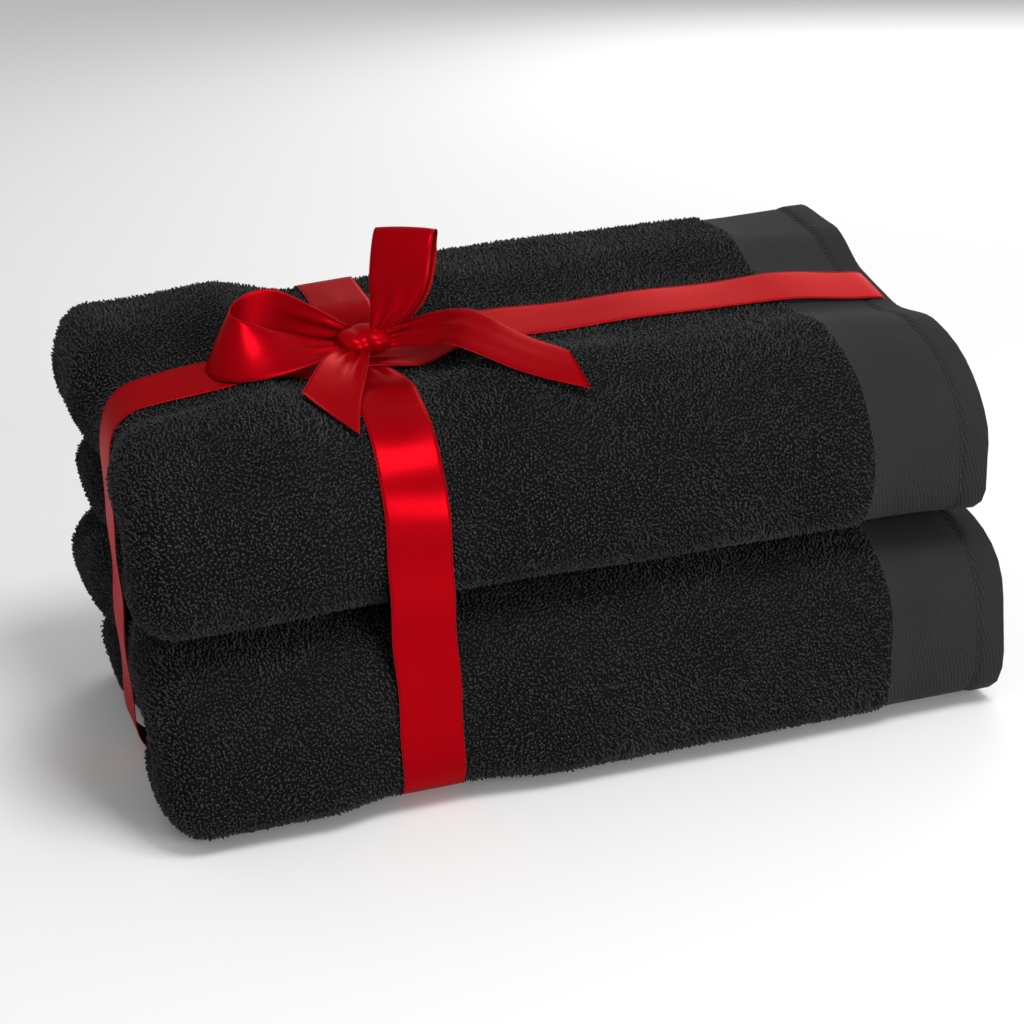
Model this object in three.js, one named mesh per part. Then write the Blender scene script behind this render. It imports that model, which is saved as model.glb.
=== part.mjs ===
// Bath towel set: two folded bath towels, laid one on the other and tied with one satin ribbon.
//
// Millimetres, +Z up. The origin is the middle of the underside. X runs along the folded length, with the
// hems at +X and the closed folds at -X. The folded front faces -Y, and the open edges lie at the back.
//
// The stack is laid out straight first: each towel is a sheet of layers folded round a C, and the ribbon
// runs round the outline of both. settle() then moves every point of that straight stack to where the tied
// stack has it: pulled in under the ribbon, domed between, and lower at the front. Neighbours share their
// stations along the fold, so they keep their clearance when a size changes.
import * as THREE from "three";
import { mergeVertices } from "three/addons/utils/BufferGeometryUtils.js";

// --- Driving dimensions: the towels ---------------------------------------------------------------------
const FOLDED_DEPTH = 198; // a quarter of the width, and the bulge of the front fold
const ARM_DEPTH = 44; // eight layers of 5.5, from the outside of a towel to the slit between its arms
const FRONT_FOLD_DEPTH = 46; // front face to the front end of the slit
const SETBACK_LENGTH = 70; // the lower arm's setback at the left end fades out over this length
const SLIT_HALF_GAP = 1; // the two arms of a towel stay this far off the slit's middle plane
const BACK_EDGE_RADIUS = 12; // rounding of the outermost open edges
const LEFT_FOLD_BULGE = 17; // how far the rounded left folds stand out
const RIGHT_FOLD_BULGE = 9; // the same for the folds that lie hidden at the right end
const RIGHT_FOLD_SETBACK = 3; // these end this far inside the inner pair of hems
const BORDER_LENGTH = 51; // twill border with its hem
const HEM_LENGTH = 11;
const PILE_STEP = 2; // the twill lies this far under the tips of the pile
const BORDER_THICKNESS = 5; // two cloths of twill, one on the other
const HEM_EXTRA = 0.7; // a turned hem stands this far proud of its border
const INNER_HEM_SETBACK = 4; // the second pair of hems ends this far inside the first
const THREAD_WIDTH = 1; // a row of lockstitch
const THREAD_THICKNESS = 0.6;
const CLEARANCE = 0.3; // between pieces that touch
const LAYER_GAP = 0.7; // between a border and the layer under it
const RIBBON_GAP = 0.4; // between the ribbon and the towels, and where two runs of it cross
const TOWEL_GAP = 0.6; // between the two towels

const LOWER = {
  name: "lower_towel",
  base: 0,
  height: 84.5,
  slitHeight: 38,
  left: -177.5,
  right: 177.5,
  front: 0,
  lowerArmSetback: 9,
  frontSquareness: { over: 2.6, under: 4 }, // 2 is an ellipse, and more is nearer a square corner
};
const UPPER = {
  name: "upper_towel",
  base: LOWER.height + TOWEL_GAP,
  height: 92.5,
  slitHeight: 35,
  left: -176.5,
  right: 170.5,
  front: 4,
  lowerArmSetback: 5,
  frontSquareness: { over: 2.3, under: 2.6 },
};
const STACK_HEIGHT = UPPER.base + UPPER.height;

// --- Driving dimensions: the ribbon ---------------------------------------------------------------------
const RIBBON_WIDTH = 25;
const RIBBON_THICKNESS = 0.8;
const BACK_Y = FOLDED_DEPTH / 2 - RIBBON_GAP - RIBBON_THICKNESS; // the open edges at the back
const CROSS_WRAP_X = -61.5; // the wrap that goes over the front
const CROSS_WRAP_SLANT = 0.06; // it lies a little askew: along X for each millimetre along Y
const LONG_WRAP_Y = 2; // the wrap that goes over the ends
const PINCH_WIDTH = 13; // width of a strand where the knot gathers it
const PINCH_LENGTH = 20;
const KNOT_SIZE = new THREE.Vector3(24, 20, 12);
const KNOT_GAP = 0.5; // knot to the strand below it
const ROOT_GAP = 0.6; // knot to the loops and tails that come out of it
const CROSSING_GAP = 1; // from the middle of a crossing to the ends of strands that meet there
const STRAND_START = PINCH_WIDTH / 2 + CROSSING_GAP; // the strands across begin beside the one along

// The loops and tails lie along frames: where the middle of the ribbon is from the middle of the knot, the
// direction across it, and its width there. The first and last frame of a loop are where it leaves the knot,
// and the last frame of a tail lies along its end, which is cut askew.
const LEFT_LOOP = [
  { at: [-9, 4, 5], across: [0.1, 0.5, 0.85], width: 8 },
  { at: [-18, 11, 8], across: [0, 0.3, 0.95], width: 17 },
  { at: [-32, 19, 11], across: [0.1, 0.2, 0.97], width: 24 },
  { at: [-45, 20, 12], across: [0.25, 0.12, 0.96], width: 25 },
  { at: [-55, 15, 9], across: [0.42, 0.1, 0.9], width: 25 },
  { at: [-58, 6, 8], across: [0.5, 0.1, 0.85], width: 25 },
  { at: [-54, -3, 7], across: [0.45, 0.4, 0.8], width: 25 },
  { at: [-44, -6, 5], across: [0.35, 0.75, 0.57], width: 24 },
  { at: [-30, -4, 3], across: [0.2, 0.93, 0.32], width: 22 },
  { at: [-17, -2, 1], across: [0.1, 0.97, 0.2], width: 16 },
  { at: [-9, -1, -1], across: [0, 0.98, 0.15], width: 9 },
];
const UPRIGHT_LOOP = [
  { at: [8, -4, 6], across: [-0.88, 0.47, 0], width: 9 },
  { at: [12, -5, 15], across: [-0.89, 0.45, 0], width: 18 },
  { at: [15, -5, 26], across: [-0.85, 0.52, 0], width: 24 },
  { at: [18, -1, 37], across: [-0.83, 0.55, 0], width: 25 },
  { at: [21, 4, 43], across: [-0.83, 0.56, 0], width: 25 },
  { at: [24, 9, 42], across: [-0.82, 0.57, 0], width: 25 },
  { at: [25, 14, 37], across: [-0.82, 0.57, 0], width: 25 },
  { at: [24, 13, 28], across: [-0.83, 0.55, 0], width: 24 },
  { at: [20, 8, 17], across: [-0.85, 0.53, 0], width: 20 },
  { at: [15, 4, 9], across: [-0.88, 0.45, 0], width: 14 },
  { at: [9, 0, 3], across: [-0.9, 0.38, 0], width: 9 },
];
const RIGHT_TAIL = [
  { at: [9, -4, 0], across: [0.21, 0.53, 0.82], width: 8 },
  { at: [17, -5, 3], across: [0.54, 0.4, 0.74], width: 12 },
  { at: [29, -12, 6], across: [0.5, 0.67, 0.55], width: 18 },
  { at: [36, -22, 8], across: [0.71, 0.61, 0.34], width: 22 },
  { at: [44, -36, 7], across: [0.74, 0.65, 0.18], width: 25 },
  { at: [54, -51, 2], across: [0.56, 0.8, 0.22], width: 25 },
  { at: [69, -64, -4], across: [0, 0.95, 0.32], width: 25 },
];
const FRONT_TAIL = [
  { at: [-5, -7, -1], across: [-0.8, 0.6, 0.1], width: 7 },
  { at: [-9, -15, 0], across: [-0.68, 0.67, 0.3], width: 13 },
  { at: [-16, -32, 1], across: [-0.5, 0.82, 0.3], width: 21 },
  { at: [-23, -47, -1], across: [-0.5, 0.8, 0.3], width: 26 },
  { at: [-29, -61, -5], across: [-0.5, 0.8, 0.34], width: 30 },
];
const BAND_SEGMENTS = { leftLoop: 30, uprightLoop: 30, rightTail: 18, frontTail: 14 };
const REST_GAP = 0.6; // a loop or tail whose frame would cut into the terry is lifted this far off it

// --- Driving dimensions: how the tied stack settles -----------------------------------------------------
const GROOVE_HALF_WIDTH = RIBBON_WIDTH / 2 + 2.5; // pressed flat this far to each side of a ribbon's middle
const GROOVE_SHOULDER = 34; // from there up to the full height of the pile
const TOP_PRESS = 9; // depth of one groove on the top
const CROSSING_SHARE = 0.95; // the second groove adds this share where the two cross
const FRONT_PRESS = 4.5;
const LEFT_END_PRESS = 7;
const RIGHT_END_PRESS = 3;
const UNDERSIDE_LIFT = 2.7; // the ribbon runs under the stack inside this lift
const FRONT_FALL_LEFT = 13; // how much lower the top is at the front than at the back, at the left end
const FRONT_FALL_RIGHT = 24; // and at the right end, where the borders have no pile
const FALL_START_Y = 40;
const LEFT_END_FALL = { drop: 11, length: 115, backShare: 0.4 }; // the ends fall less at the back
const RIGHT_END_FALL = { drop: 4, length: 60, backShare: 0 };
const END_FALL_BACK_Y = 80;

// --- How finely curved shapes are cut up ----------------------------------------------------------------
const FRONT_FOLD_STEPS = 10;
const END_FOLD_STEPS = { left: 6, right: 4 };
const LONGEST_STEP = { along: 22, across: 20, hidden: 80 };
const KNOT_STEPS = { around: 24, over: 14 };

// --- Colours --------------------------------------------------------------------------------------------
const PILE = { color: 0x141415, roughness: 0.95, metalness: 0 };
const TWILL = { color: 0x222324, roughness: 0.85, metalness: 0 };
const THREAD = { color: 0x101011, roughness: 0.7, metalness: 0 };
const SATIN = { color: 0xb3091b, roughness: 0.3, metalness: 0 };

const group = new THREE.Group();

// --- Small helpers --------------------------------------------------------------------------------------

/** 0 below 0, 1 above 1, and a smooth step between. */
function smooth(t) {
  return THREE.MathUtils.smoothstep(t, 0, 1);
}

/** 1 within the flat of a groove, falling smoothly to 0 past its shoulder. */
function groove(distance) {
  return 1 - smooth((Math.abs(distance) - GROOVE_HALF_WIDTH) / GROOVE_SHOULDER);
}

/** Numbers from first to last that include every mark between them, with no step over the longest. */
function stationsBetween(first, last, marks, longest) {
  const sign = Math.sign(last - first);
  const inside = marks.filter((mark) => (mark - first) * sign > 1 && (last - mark) * sign > 1);
  const knots = [first, ...inside.sort((a, b) => (a - b) * sign), last];
  const stations = [first];
  for (let i = 1; i < knots.length; i++) {
    const count = Math.ceil(Math.abs(knots[i] - knots[i - 1]) / longest);
    for (let k = 1; k <= count; k++) {
      stations.push(knots[i - 1] + ((knots[i] - knots[i - 1]) * k) / count);
    }
  }
  return stations;
}

/** Adds one closed mesh to the group. Its faces are turned outwards if they came out inwards. */
function addMesh(name, positions, triangles, look) {
  let volume = 0;
  for (const [a, b, c] of triangles) {
    volume += positions[a].dot(positions[b].clone().cross(positions[c]));
  }
  const outward = volume > 0 ? triangles : triangles.map(([a, b, c]) => [a, c, b]);
  const geometry = new THREE.BufferGeometry().setFromPoints(positions);
  geometry.setIndex(outward.flat());
  geometry.computeVertexNormals();
  const mesh = new THREE.Mesh(geometry, new THREE.MeshStandardMaterial(look));
  mesh.name = name;
  group.add(mesh);
}

/** A solid through closed rings of equally many points. The outline gives the shape of its two end caps. */
function loft(name, rings, outline, look) {
  const size = outline.length;
  const triangles = [];
  for (let ring = 0; ring < rings.length - 1; ring++) {
    for (let i = 0; i < size; i++) {
      const a = ring * size + i;
      const b = ring * size + ((i + 1) % size);
      triangles.push([a, b, b + size], [a, b + size, a + size]);
    }
  }
  const lastRing = (rings.length - 1) * size;
  const clockwise = THREE.ShapeUtils.isClockWise(outline);
  for (const [a, b, c] of THREE.ShapeUtils.triangulateShape(outline, [])) {
    const [next, last] = clockwise ? [b, c] : [c, b];
    triangles.push([a, next, last], [lastRing + a, lastRing + last, lastRing + next]);
  }
  addMesh(name, rings.flat(), triangles, look);
}

// --- How the tied stack settles -------------------------------------------------------------------------

/** How much lower the top lies at the front than at the back. */
function frontFallAt(x) {
  const share = (x - LOWER.left) / (LOWER.right - LOWER.left);
  return THREE.MathUtils.lerp(FRONT_FALL_LEFT, FRONT_FALL_RIGHT, share);
}

/** How much the top falls towards the two ends. */
function endFallAt(x, y) {
  const towardsFront = smooth((END_FALL_BACK_Y - y) / END_FALL_BACK_Y);
  const fall = ({ drop, length, backShare }, fromEnd) =>
    drop * smooth(1 - fromEnd / length) * THREE.MathUtils.lerp(backShare, 1, towardsFront);
  return fall(LEFT_END_FALL, x - LOWER.left) + fall(RIGHT_END_FALL, LOWER.right - x);
}

/** Moves a point of the straight stack to its place in the tied one. */
function settle(point) {
  const { x, y, z } = point;
  const rise = z / STACK_HEIGHT;
  const cross = groove(x - CROSS_WRAP_X);
  const long = groove(y - LONG_WRAP_Y);
  const halfDepth = FOLDED_DEPTH / 2;
  const endPress = x < 0 ? LEFT_END_PRESS : RIGHT_END_PRESS;
  const endReach = x < 0 ? -LOWER.left : LOWER.right;
  const press = TOP_PRESS * (Math.max(cross, long) + CROSSING_SHARE * Math.min(cross, long));
  const frontFall = frontFallAt(x) * smooth((FALL_START_Y - y) / (FALL_START_Y + halfDepth));
  const endFall = endFallAt(x, y);
  const lift = UNDERSIDE_LIFT * Math.max(cross, long) * (1 - rise) ** 8;
  return new THREE.Vector3(
    x - Math.sign(x) * endPress * long * Math.abs(x / endReach) ** 4 + CROSS_WRAP_SLANT * y * cross,
    y + FRONT_PRESS * cross * Math.abs(Math.min(y, 0) / halfDepth) ** 3,
    z - rise ** 3 * press - rise ** 2 * (frontFall + endFall) + lift,
  );
}

// --- The towels -----------------------------------------------------------------------------------------

/**
 * Stations along the C of a folded towel, from the back edge of the upper arm round the front to the back
 * edge of the lower arm. Each has a point on the outside and the point across from it at the slit.
 */
function foldStations(towel) {
  const foldY = -FOLDED_DEPTH / 2 + FRONT_FOLD_DEPTH + towel.front;
  const slit = towel.base + towel.slitHeight;
  const top = towel.base + towel.height;
  const marks = [LONG_WRAP_Y - GROOVE_HALF_WIDTH, LONG_WRAP_Y + GROOVE_HALF_WIDTH];
  const edge = [90, 60, 30].map((degrees) => THREE.MathUtils.degToRad(degrees));
  const straight = stationsBetween(BACK_Y - BACK_EDGE_RADIUS, foldY, marks, LONGEST_STEP.across);

  const backEdge = edge.map((angle) => [
    BACK_Y - BACK_EDGE_RADIUS * (1 - Math.sin(angle)),
    BACK_EDGE_RADIUS * (1 - Math.cos(angle)),
  ]);
  const armPoints = [...backEdge, ...straight.map((y) => [y, 0])];

  const stations = armPoints.map(([y, drop]) => ({
    outside: [y, top - drop],
    inside: [y, slit + SLIT_HALF_GAP],
  }));
  for (let i = 1; i < FRONT_FOLD_STEPS; i++) {
    const angle = (Math.PI * i) / FRONT_FOLD_STEPS;
    const over = angle < Math.PI / 2;
    const reachUp = over ? towel.height - towel.slitHeight : towel.slitHeight;
    const power = 2 / (over ? towel.frontSquareness.over : towel.frontSquareness.under);
    const across = Math.abs(Math.sin(angle)) ** power;
    const up = Math.sign(Math.cos(angle)) * Math.abs(Math.cos(angle)) ** power;
    stations.push({
      outside: [foldY - FRONT_FOLD_DEPTH * across, slit + reachUp * up],
      inside: [foldY - SLIT_HALF_GAP * Math.sin(angle), slit + SLIT_HALF_GAP * Math.cos(angle)],
    });
  }
  for (const [y, drop] of [...armPoints].reverse()) {
    stations.push({ outside: [y, towel.base + drop], inside: [y, slit - SLIT_HALF_GAP] });
  }
  return stations;
}

/** The point at a station that lies x along the towel and so deep under its outside. */
function pointInFold(towel, stations, index, x, depth) {
  const { outside, inside } = stations[index];
  const share = depth / ARM_DEPTH;
  const nearLeftEnd = smooth(1 - (x - towel.left) / SETBACK_LENGTH);
  const setback = towel.lowerArmSetback * (index / (stations.length - 1)) * nearLeftEnd;
  return new THREE.Vector3(
    x + setback,
    THREE.MathUtils.lerp(outside[0], inside[0], share),
    THREE.MathUtils.lerp(outside[1], inside[1], share),
  );
}

/** Sweeps a section, given as [x, depth] corners, round the fold of a towel. */
function sweepRoundFold(name, towel, section, look) {
  const stations = foldStations(towel);
  const rings = stations.map((_, index) =>
    section.map(([x, depth]) => settle(pointInFold(towel, stations, index, x, depth))),
  );
  loft(name, rings, section.map(([x, depth]) => new THREE.Vector2(x, depth)), look);
}

/** The rounded end of a bundle of layers between two depths, from the first to the second. */
function roundedEnd(tipX, bulge, fromDepth, toDepth, steps) {
  const corners = [];
  for (let i = 0; i <= steps; i++) {
    const angle = (Math.PI * i) / steps;
    const share = (1 - Math.cos(angle)) / 2;
    corners.push([tipX - bulge * (1 - Math.sin(angle)), fromDepth + (toDepth - fromDepth) * share]);
  }
  return corners;
}

/** The same corners on the other side of x = 0. */
function mirrored(corners) {
  return corners.map(([x, depth]) => [-x, depth]);
}

/** Where the borders and hems of a towel begin and end along X, and how deep each lies. */
function hemLayout(towel) {
  const borderX = towel.right - BORDER_LENGTH;
  const outerDepth = PILE_STEP;
  const innerDepth = outerDepth + BORDER_THICKNESS + LAYER_GAP;
  return {
    borderX,
    outer: { depth: outerDepth, right: towel.right },
    inner: { depth: innerDepth, right: towel.right - INNER_HEM_SETBACK },
    bodyDepth: innerDepth + BORDER_THICKNESS + LAYER_GAP,
  };
}

/** Stations along X that the cloth shares with the ribbon on it, so that both bend at the same places. */
function lengthStations(from, to, longest) {
  const marks = [
    CROSS_WRAP_X - GROOVE_HALF_WIDTH - GROOVE_SHOULDER,
    CROSS_WRAP_X - GROOVE_HALF_WIDTH,
    CROSS_WRAP_X + GROOVE_HALF_WIDTH,
    CROSS_WRAP_X + GROOVE_HALF_WIDTH + GROOVE_SHOULDER,
  ];
  return stationsBetween(from, to, marks, longest);
}

/** The terry of one towel, all its layers in one solid: both leaves, the left folds and the hidden one. */
function addCloth(towel) {
  const layout = hemLayout(towel);
  const straightLeft = towel.left + LEFT_FOLD_BULGE;
  const rightTip = layout.inner.right - RIGHT_FOLD_SETBACK;
  const outsideX = lengthStations(layout.borderX - CLEARANCE, straightLeft, LONGEST_STEP.along);
  const leftSteps = END_FOLD_STEPS.left;
  const leftFold = mirrored(roundedEnd(-towel.left, LEFT_FOLD_BULGE, 0, ARM_DEPTH, leftSteps));
  const slitSide = lengthStations(straightLeft, rightTip - RIGHT_FOLD_BULGE, LONGEST_STEP.hidden);
  const rightSteps = END_FOLD_STEPS.right;
  const rightFold = roundedEnd(rightTip, RIGHT_FOLD_BULGE, ARM_DEPTH, layout.bodyDepth, rightSteps);
  const section = [
    ...outsideX.map((x) => [x, 0]),
    ...leftFold.slice(1),
    ...slitSide.slice(1, -1).map((x) => [x, ARM_DEPTH]),
    ...rightFold,
    [layout.borderX - CLEARANCE, layout.bodyDepth],
  ];
  sweepRoundFold(`${towel.name}_cloth`, towel, section, PILE);
}

/** A plain rectangle of the section between two lengths and two depths. */
function block(fromX, toX, fromDepth, toDepth) {
  return [
    [fromX, fromDepth],
    [toX, fromDepth],
    [toX, toDepth],
    [fromX, toDepth],
  ];
}

/** One border band with its turned hem and the row of stitches that holds it. */
function addBorder(towel, which) {
  const layout = hemLayout(towel);
  const { depth, right } = layout[which];
  const under = depth + BORDER_THICKNESS;
  const hemX = right - HEM_LENGTH;
  const proud = which === "outer" ? HEM_EXTRA : 0;
  const prefix = `${towel.name}_${which}`;
  sweepRoundFold(`${prefix}_border`, towel, block(layout.borderX, hemX - CLEARANCE, depth, under), TWILL);
  sweepRoundFold(`${prefix}_hem`, towel, block(hemX, right, depth - proud, under), TWILL);
  if (which === "outer") {
    const threadRight = hemX - CLEARANCE;
    const threadTop = depth - CLEARANCE - THREAD_THICKNESS;
    const thread = block(threadRight - THREAD_WIDTH, threadRight, threadTop, threadTop + THREAD_THICKNESS);
    sweepRoundFold(`${prefix}_hem_stitching`, towel, thread, THREAD);
  }
}

// --- The ribbon -----------------------------------------------------------------------------------------

/** The order of the four corners of a ribbon's section. */
const BAND_OUTLINE = [
  new THREE.Vector2(-1, 0),
  new THREE.Vector2(1, 0),
  new THREE.Vector2(1, 1),
  new THREE.Vector2(-1, 1),
];

/** The same for a strand, which bends with the towels across its middle. No three corners are in line. */
const STRAND_OUTLINE = [
  new THREE.Vector2(-1, 0),
  new THREE.Vector2(0, -1),
  new THREE.Vector2(1, 0),
  new THREE.Vector2(1, 1),
  new THREE.Vector2(0, 2),
  new THREE.Vector2(-1, 1),
];

/** Outward directions of an open line of [u, z] points that runs with the outside on its left hand. */
function outwardDirections(line) {
  return line.map((_, i) => {
    const before = line[Math.max(i - 1, 0)];
    const after = line[Math.min(i + 1, line.length - 1)];
    const along = new THREE.Vector2(after[0] - before[0], after[1] - before[1]).normalize();
    return new THREE.Vector2(-along.y, along.x);
  });
}

/** Half the width of a strand that lies so far from the middle of the knot. */
function strandHalfWidth(distance) {
  return THREE.MathUtils.lerp(PINCH_WIDTH, RIBBON_WIDTH, smooth(distance / PINCH_LENGTH)) / 2;
}

/**
 * A strand of ribbon that runs round the stack along a line of [u, z] points, where place(u, z, side) puts
 * a point of the strand in the straight stack.
 */
function addStrand(name, line, layerAt, distanceAt, place) {
  const outward = outwardDirections(line);
  const rings = line.map(([u, z], i) => {
    const inner = RIBBON_GAP + layerAt(i / (line.length - 1)) * (RIBBON_THICKNESS + RIBBON_GAP);
    const half = strandHalfWidth(distanceAt(u, z));
    const corner = (height, side) =>
      settle(place(u + outward[i].x * height, z + outward[i].y * height, side * half));
    const outer = inner + RIBBON_THICKNESS;
    return [
      ...[-1, 0, 1].map((side) => corner(inner, side)),
      ...[1, 0, -1].map((side) => corner(outer, side)),
    ];
  });
  loft(name, rings, STRAND_OUTLINE, SATIN);
}

/** The outline of the stack across its front, from the middle of the top forwards to the underside. */
function frontOutline() {
  const upper = foldStations(UPPER).map((station) => station.outside);
  const lower = foldStations(LOWER).map((station) => station.outside);
  const slit = UPPER.base + UPPER.slitHeight;
  const over = upper.filter(([y, z]) => LONG_WRAP_Y - y > STRAND_START && z >= slit - SLIT_HALF_GAP);
  const under = lower.filter(([y, z]) => LONG_WRAP_Y - y > CROSSING_GAP && z <= LOWER.slitHeight + 1);
  return [...over, ...under];
}

/** The outline of the stack across its back, from the underside back up to the middle of the top. */
function backOutline() {
  const upper = foldStations(UPPER).map((station) => station.outside);
  const lower = foldStations(LOWER).map((station) => station.outside);
  const under = lower.filter(([y, z]) => y - LONG_WRAP_Y > CROSSING_GAP && z < LOWER.slitHeight);
  const over = upper.filter(([y, z]) => y - LONG_WRAP_Y > STRAND_START && z > UPPER.base + UPPER.slitHeight);
  return [...under, ...over];
}

/** The outer half of the rounded left end of one arm of a towel, as [x, depth] from its outside inwards. */
function leftQuarterTurn(towel, armHeight) {
  const steps = END_FOLD_STEPS.left;
  return mirrored(roundedEnd(-towel.left, LEFT_FOLD_BULGE, 0, armHeight, steps)).slice(0, steps / 2 + 1);
}

/** The outline of the stack along its length: underside, left end, top, right end, underside. */
function lengthOutline() {
  const top = STACK_HEIGHT;
  const upperArm = UPPER.height - UPPER.slitHeight;
  const { along } = LONGEST_STEP;
  const topX = lengthStations(UPPER.left + LEFT_FOLD_BULGE, UPPER.right - BORDER_LENGTH, along);
  const baseX = lengthStations(LOWER.right - BORDER_LENGTH, LOWER.left + LEFT_FOLD_BULGE, along);
  return [
    ...baseX.filter((x) => x < CROSS_WRAP_X - CROSSING_GAP).map((x) => [x, 0]),
    ...leftQuarterTurn(LOWER, LOWER.slitHeight).slice(1),
    ...leftQuarterTurn(UPPER, upperArm).reverse().slice(0, -1).map(([x, depth]) => [x, top - depth]),
    ...topX.map((x) => [x, top]),
    [UPPER.right, top],
    [LOWER.right, LOWER.height],
    [LOWER.right, 0],
    ...baseX.filter((x) => x > CROSS_WRAP_X + CROSSING_GAP).map((x) => [x, 0]),
  ];
}

/** Which layer of ribbon the long strand is at a share of its length: the outer one under the stack. */
function layerBelowStack(share) {
  const quarters = 4 * share;
  return 1 - smooth(quarters) + smooth(quarters - 3);
}

/** The three strands that leave the knot and go round the stack. */
function addWraps() {
  const across = (y, z, side) => new THREE.Vector3(CROSS_WRAP_X + side, y, z);
  const along = (x, z, side) => new THREE.Vector3(x, LONG_WRAP_Y + side, z);
  const fromKnotY = (y, z) => (z > STACK_HEIGHT / 2 ? Math.abs(y - LONG_WRAP_Y) : RIBBON_WIDTH);
  const fromKnotX = (x, z) => (z > STACK_HEIGHT / 2 ? Math.abs(x - CROSS_WRAP_X) : RIBBON_WIDTH);
  addStrand("ribbon_front_strand", frontOutline().reverse(), () => 0, fromKnotY, across);
  addStrand("ribbon_back_strand", backOutline().reverse(), () => 0, fromKnotY, across);
  addStrand("ribbon_long_strand", lengthOutline(), layerBelowStack, fromKnotX, along);
}

/** The middle of the knot, a gap above the upper one of the two strands that cross under it. */
function knotMiddle() {
  const crossing = settle(new THREE.Vector3(CROSS_WRAP_X, LONG_WRAP_Y, STACK_HEIGHT));
  const strands = 2 * (RIBBON_GAP + RIBBON_THICKNESS);
  return crossing.add(new THREE.Vector3(0, 0, strands + KNOT_GAP + KNOT_SIZE.z / 2));
}

/** The knot: the turns of the ribbon that hold the bow, pulled tight into one lump. */
function addKnot() {
  const sphere = new THREE.SphereGeometry(0.5, KNOT_STEPS.around, KNOT_STEPS.over);
  sphere.deleteAttribute("uv");
  sphere.deleteAttribute("normal");
  const geometry = mergeVertices(sphere);
  geometry.scale(KNOT_SIZE.x, KNOT_SIZE.y, KNOT_SIZE.z);
  geometry.translate(...knotMiddle());
  geometry.computeVertexNormals();
  const knot = new THREE.Mesh(geometry, new THREE.MeshStandardMaterial(SATIN));
  knot.name = "ribbon_knot";
  group.add(knot);
}

/** The nearest point to the knot, in the direction of the given one, where an end of ribbon clears it. */
function clearOfKnot(point, half) {
  const keepOut = KNOT_SIZE.clone().divideScalar(2).addScalar(ROOT_GAP);
  const inside = (corner) => corner.divide(keepOut).length() < 1;
  const step = point.clone().setLength(RIBBON_THICKNESS / 8);
  const end = step.clone();
  while (inside(end.clone()) || inside(end.clone().add(half)) || inside(end.clone().sub(half))) {
    end.add(step);
  }
  return end;
}

/** How high the settled top of the upper towel is at a place. */
function topHeightAt(x, y) {
  const foldY = -FOLDED_DEPTH / 2 + FRONT_FOLD_DEPTH + UPPER.front;
  const squareness = UPPER.frontSquareness.over;
  const over = THREE.MathUtils.clamp((foldY - y) / FRONT_FOLD_DEPTH, 0, 1);
  const armHeight = UPPER.height - UPPER.slitHeight;
  const z = UPPER.base + UPPER.slitHeight + armHeight * (1 - over ** squareness) ** (1 / squareness);
  return settle(new THREE.Vector3(x, y, z)).z;
}

/** How far a frame has to be lifted so that neither its middle nor an edge cuts into the terry. */
function liftOffTerry(middle, half) {
  const gap = REST_GAP + RIBBON_THICKNESS / 2;
  const points = [-1, 0, 1].map((side) => middle.clone().addScaledVector(half, side).add(knotMiddle()));
  return Math.max(0, ...points.map(({ x, y, z }) => topHeightAt(x, y) + gap - z));
}

/** A length of ribbon that comes out of the knot and follows its frames. A loop comes back to the knot. */
function addBand(name, frames, segments, isLoop) {
  const last = frames.length - 1;
  const middles = frames.map(({ at }) => new THREE.Vector3(...at));
  const halves = frames.map(({ across, width }) => new THREE.Vector3(...across).setLength(width / 2));
  middles[0] = clearOfKnot(middles[0], halves[0]);
  if (isLoop) {
    middles[last] = clearOfKnot(middles[last], halves[last]);
  }
  middles.forEach((middle, i) => {
    middle.z += liftOffTerry(middle, halves[i]);
  });
  const middleLine = new THREE.CatmullRomCurve3(middles);
  const halfLine = new THREE.CatmullRomCurve3(halves);
  const knot = knotMiddle();
  const rings = [];
  for (let i = 0; i <= segments; i++) {
    const t = i / segments;
    const middle = middleLine.getPoint(t).add(knot);
    const half = halfLine.getPoint(t);
    const along = middleLine.getTangent(t);
    const up = along.cross(half).setLength(RIBBON_THICKNESS / 2);
    const far = middle.clone().add(half);
    const near = middle.clone().sub(half);
    rings.push([
      near.clone().sub(up),
      far.clone().sub(up),
      far.clone().add(up),
      near.clone().add(up),
    ]);
  }
  loft(name, rings, BAND_OUTLINE, SATIN);
}

/** The knot, the two loops of the bow and its two loose ends. */
function addBow() {
  addKnot();
  addBand("ribbon_left_loop", LEFT_LOOP, BAND_SEGMENTS.leftLoop, true);
  addBand("ribbon_upright_loop", UPRIGHT_LOOP, BAND_SEGMENTS.uprightLoop, true);
  addBand("ribbon_right_tail", RIGHT_TAIL, BAND_SEGMENTS.rightTail, false);
  addBand("ribbon_front_tail", FRONT_TAIL, BAND_SEGMENTS.frontTail, false);
}

addCloth(LOWER);
addBorder(LOWER, "outer");
addBorder(LOWER, "inner");
addCloth(UPPER);
addBorder(UPPER, "outer");
addBorder(UPPER, "inner");
addWraps();
addBow();

export default group;
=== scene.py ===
"""Bath towel set: two folded plush towels, laid one on the other and tied with a satin ribbon.

Every towel is one real sheet: folded in half across its width, twice in half along its length, and once
more round the front. A Stack lays the layers out straight, and Stack.settle then moves every point to
where the tied stack has it, so that cloth, pile, stitches and ribbon stay together.
Lengths are in millimetres until a mesh is made, and every mesh is in metres.
"""
import logging
import math
from dataclasses import dataclass
from enum import Enum
from typing import Callable, Sequence

import bpy
import numpy as np
from mathutils import Matrix, Vector


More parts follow.
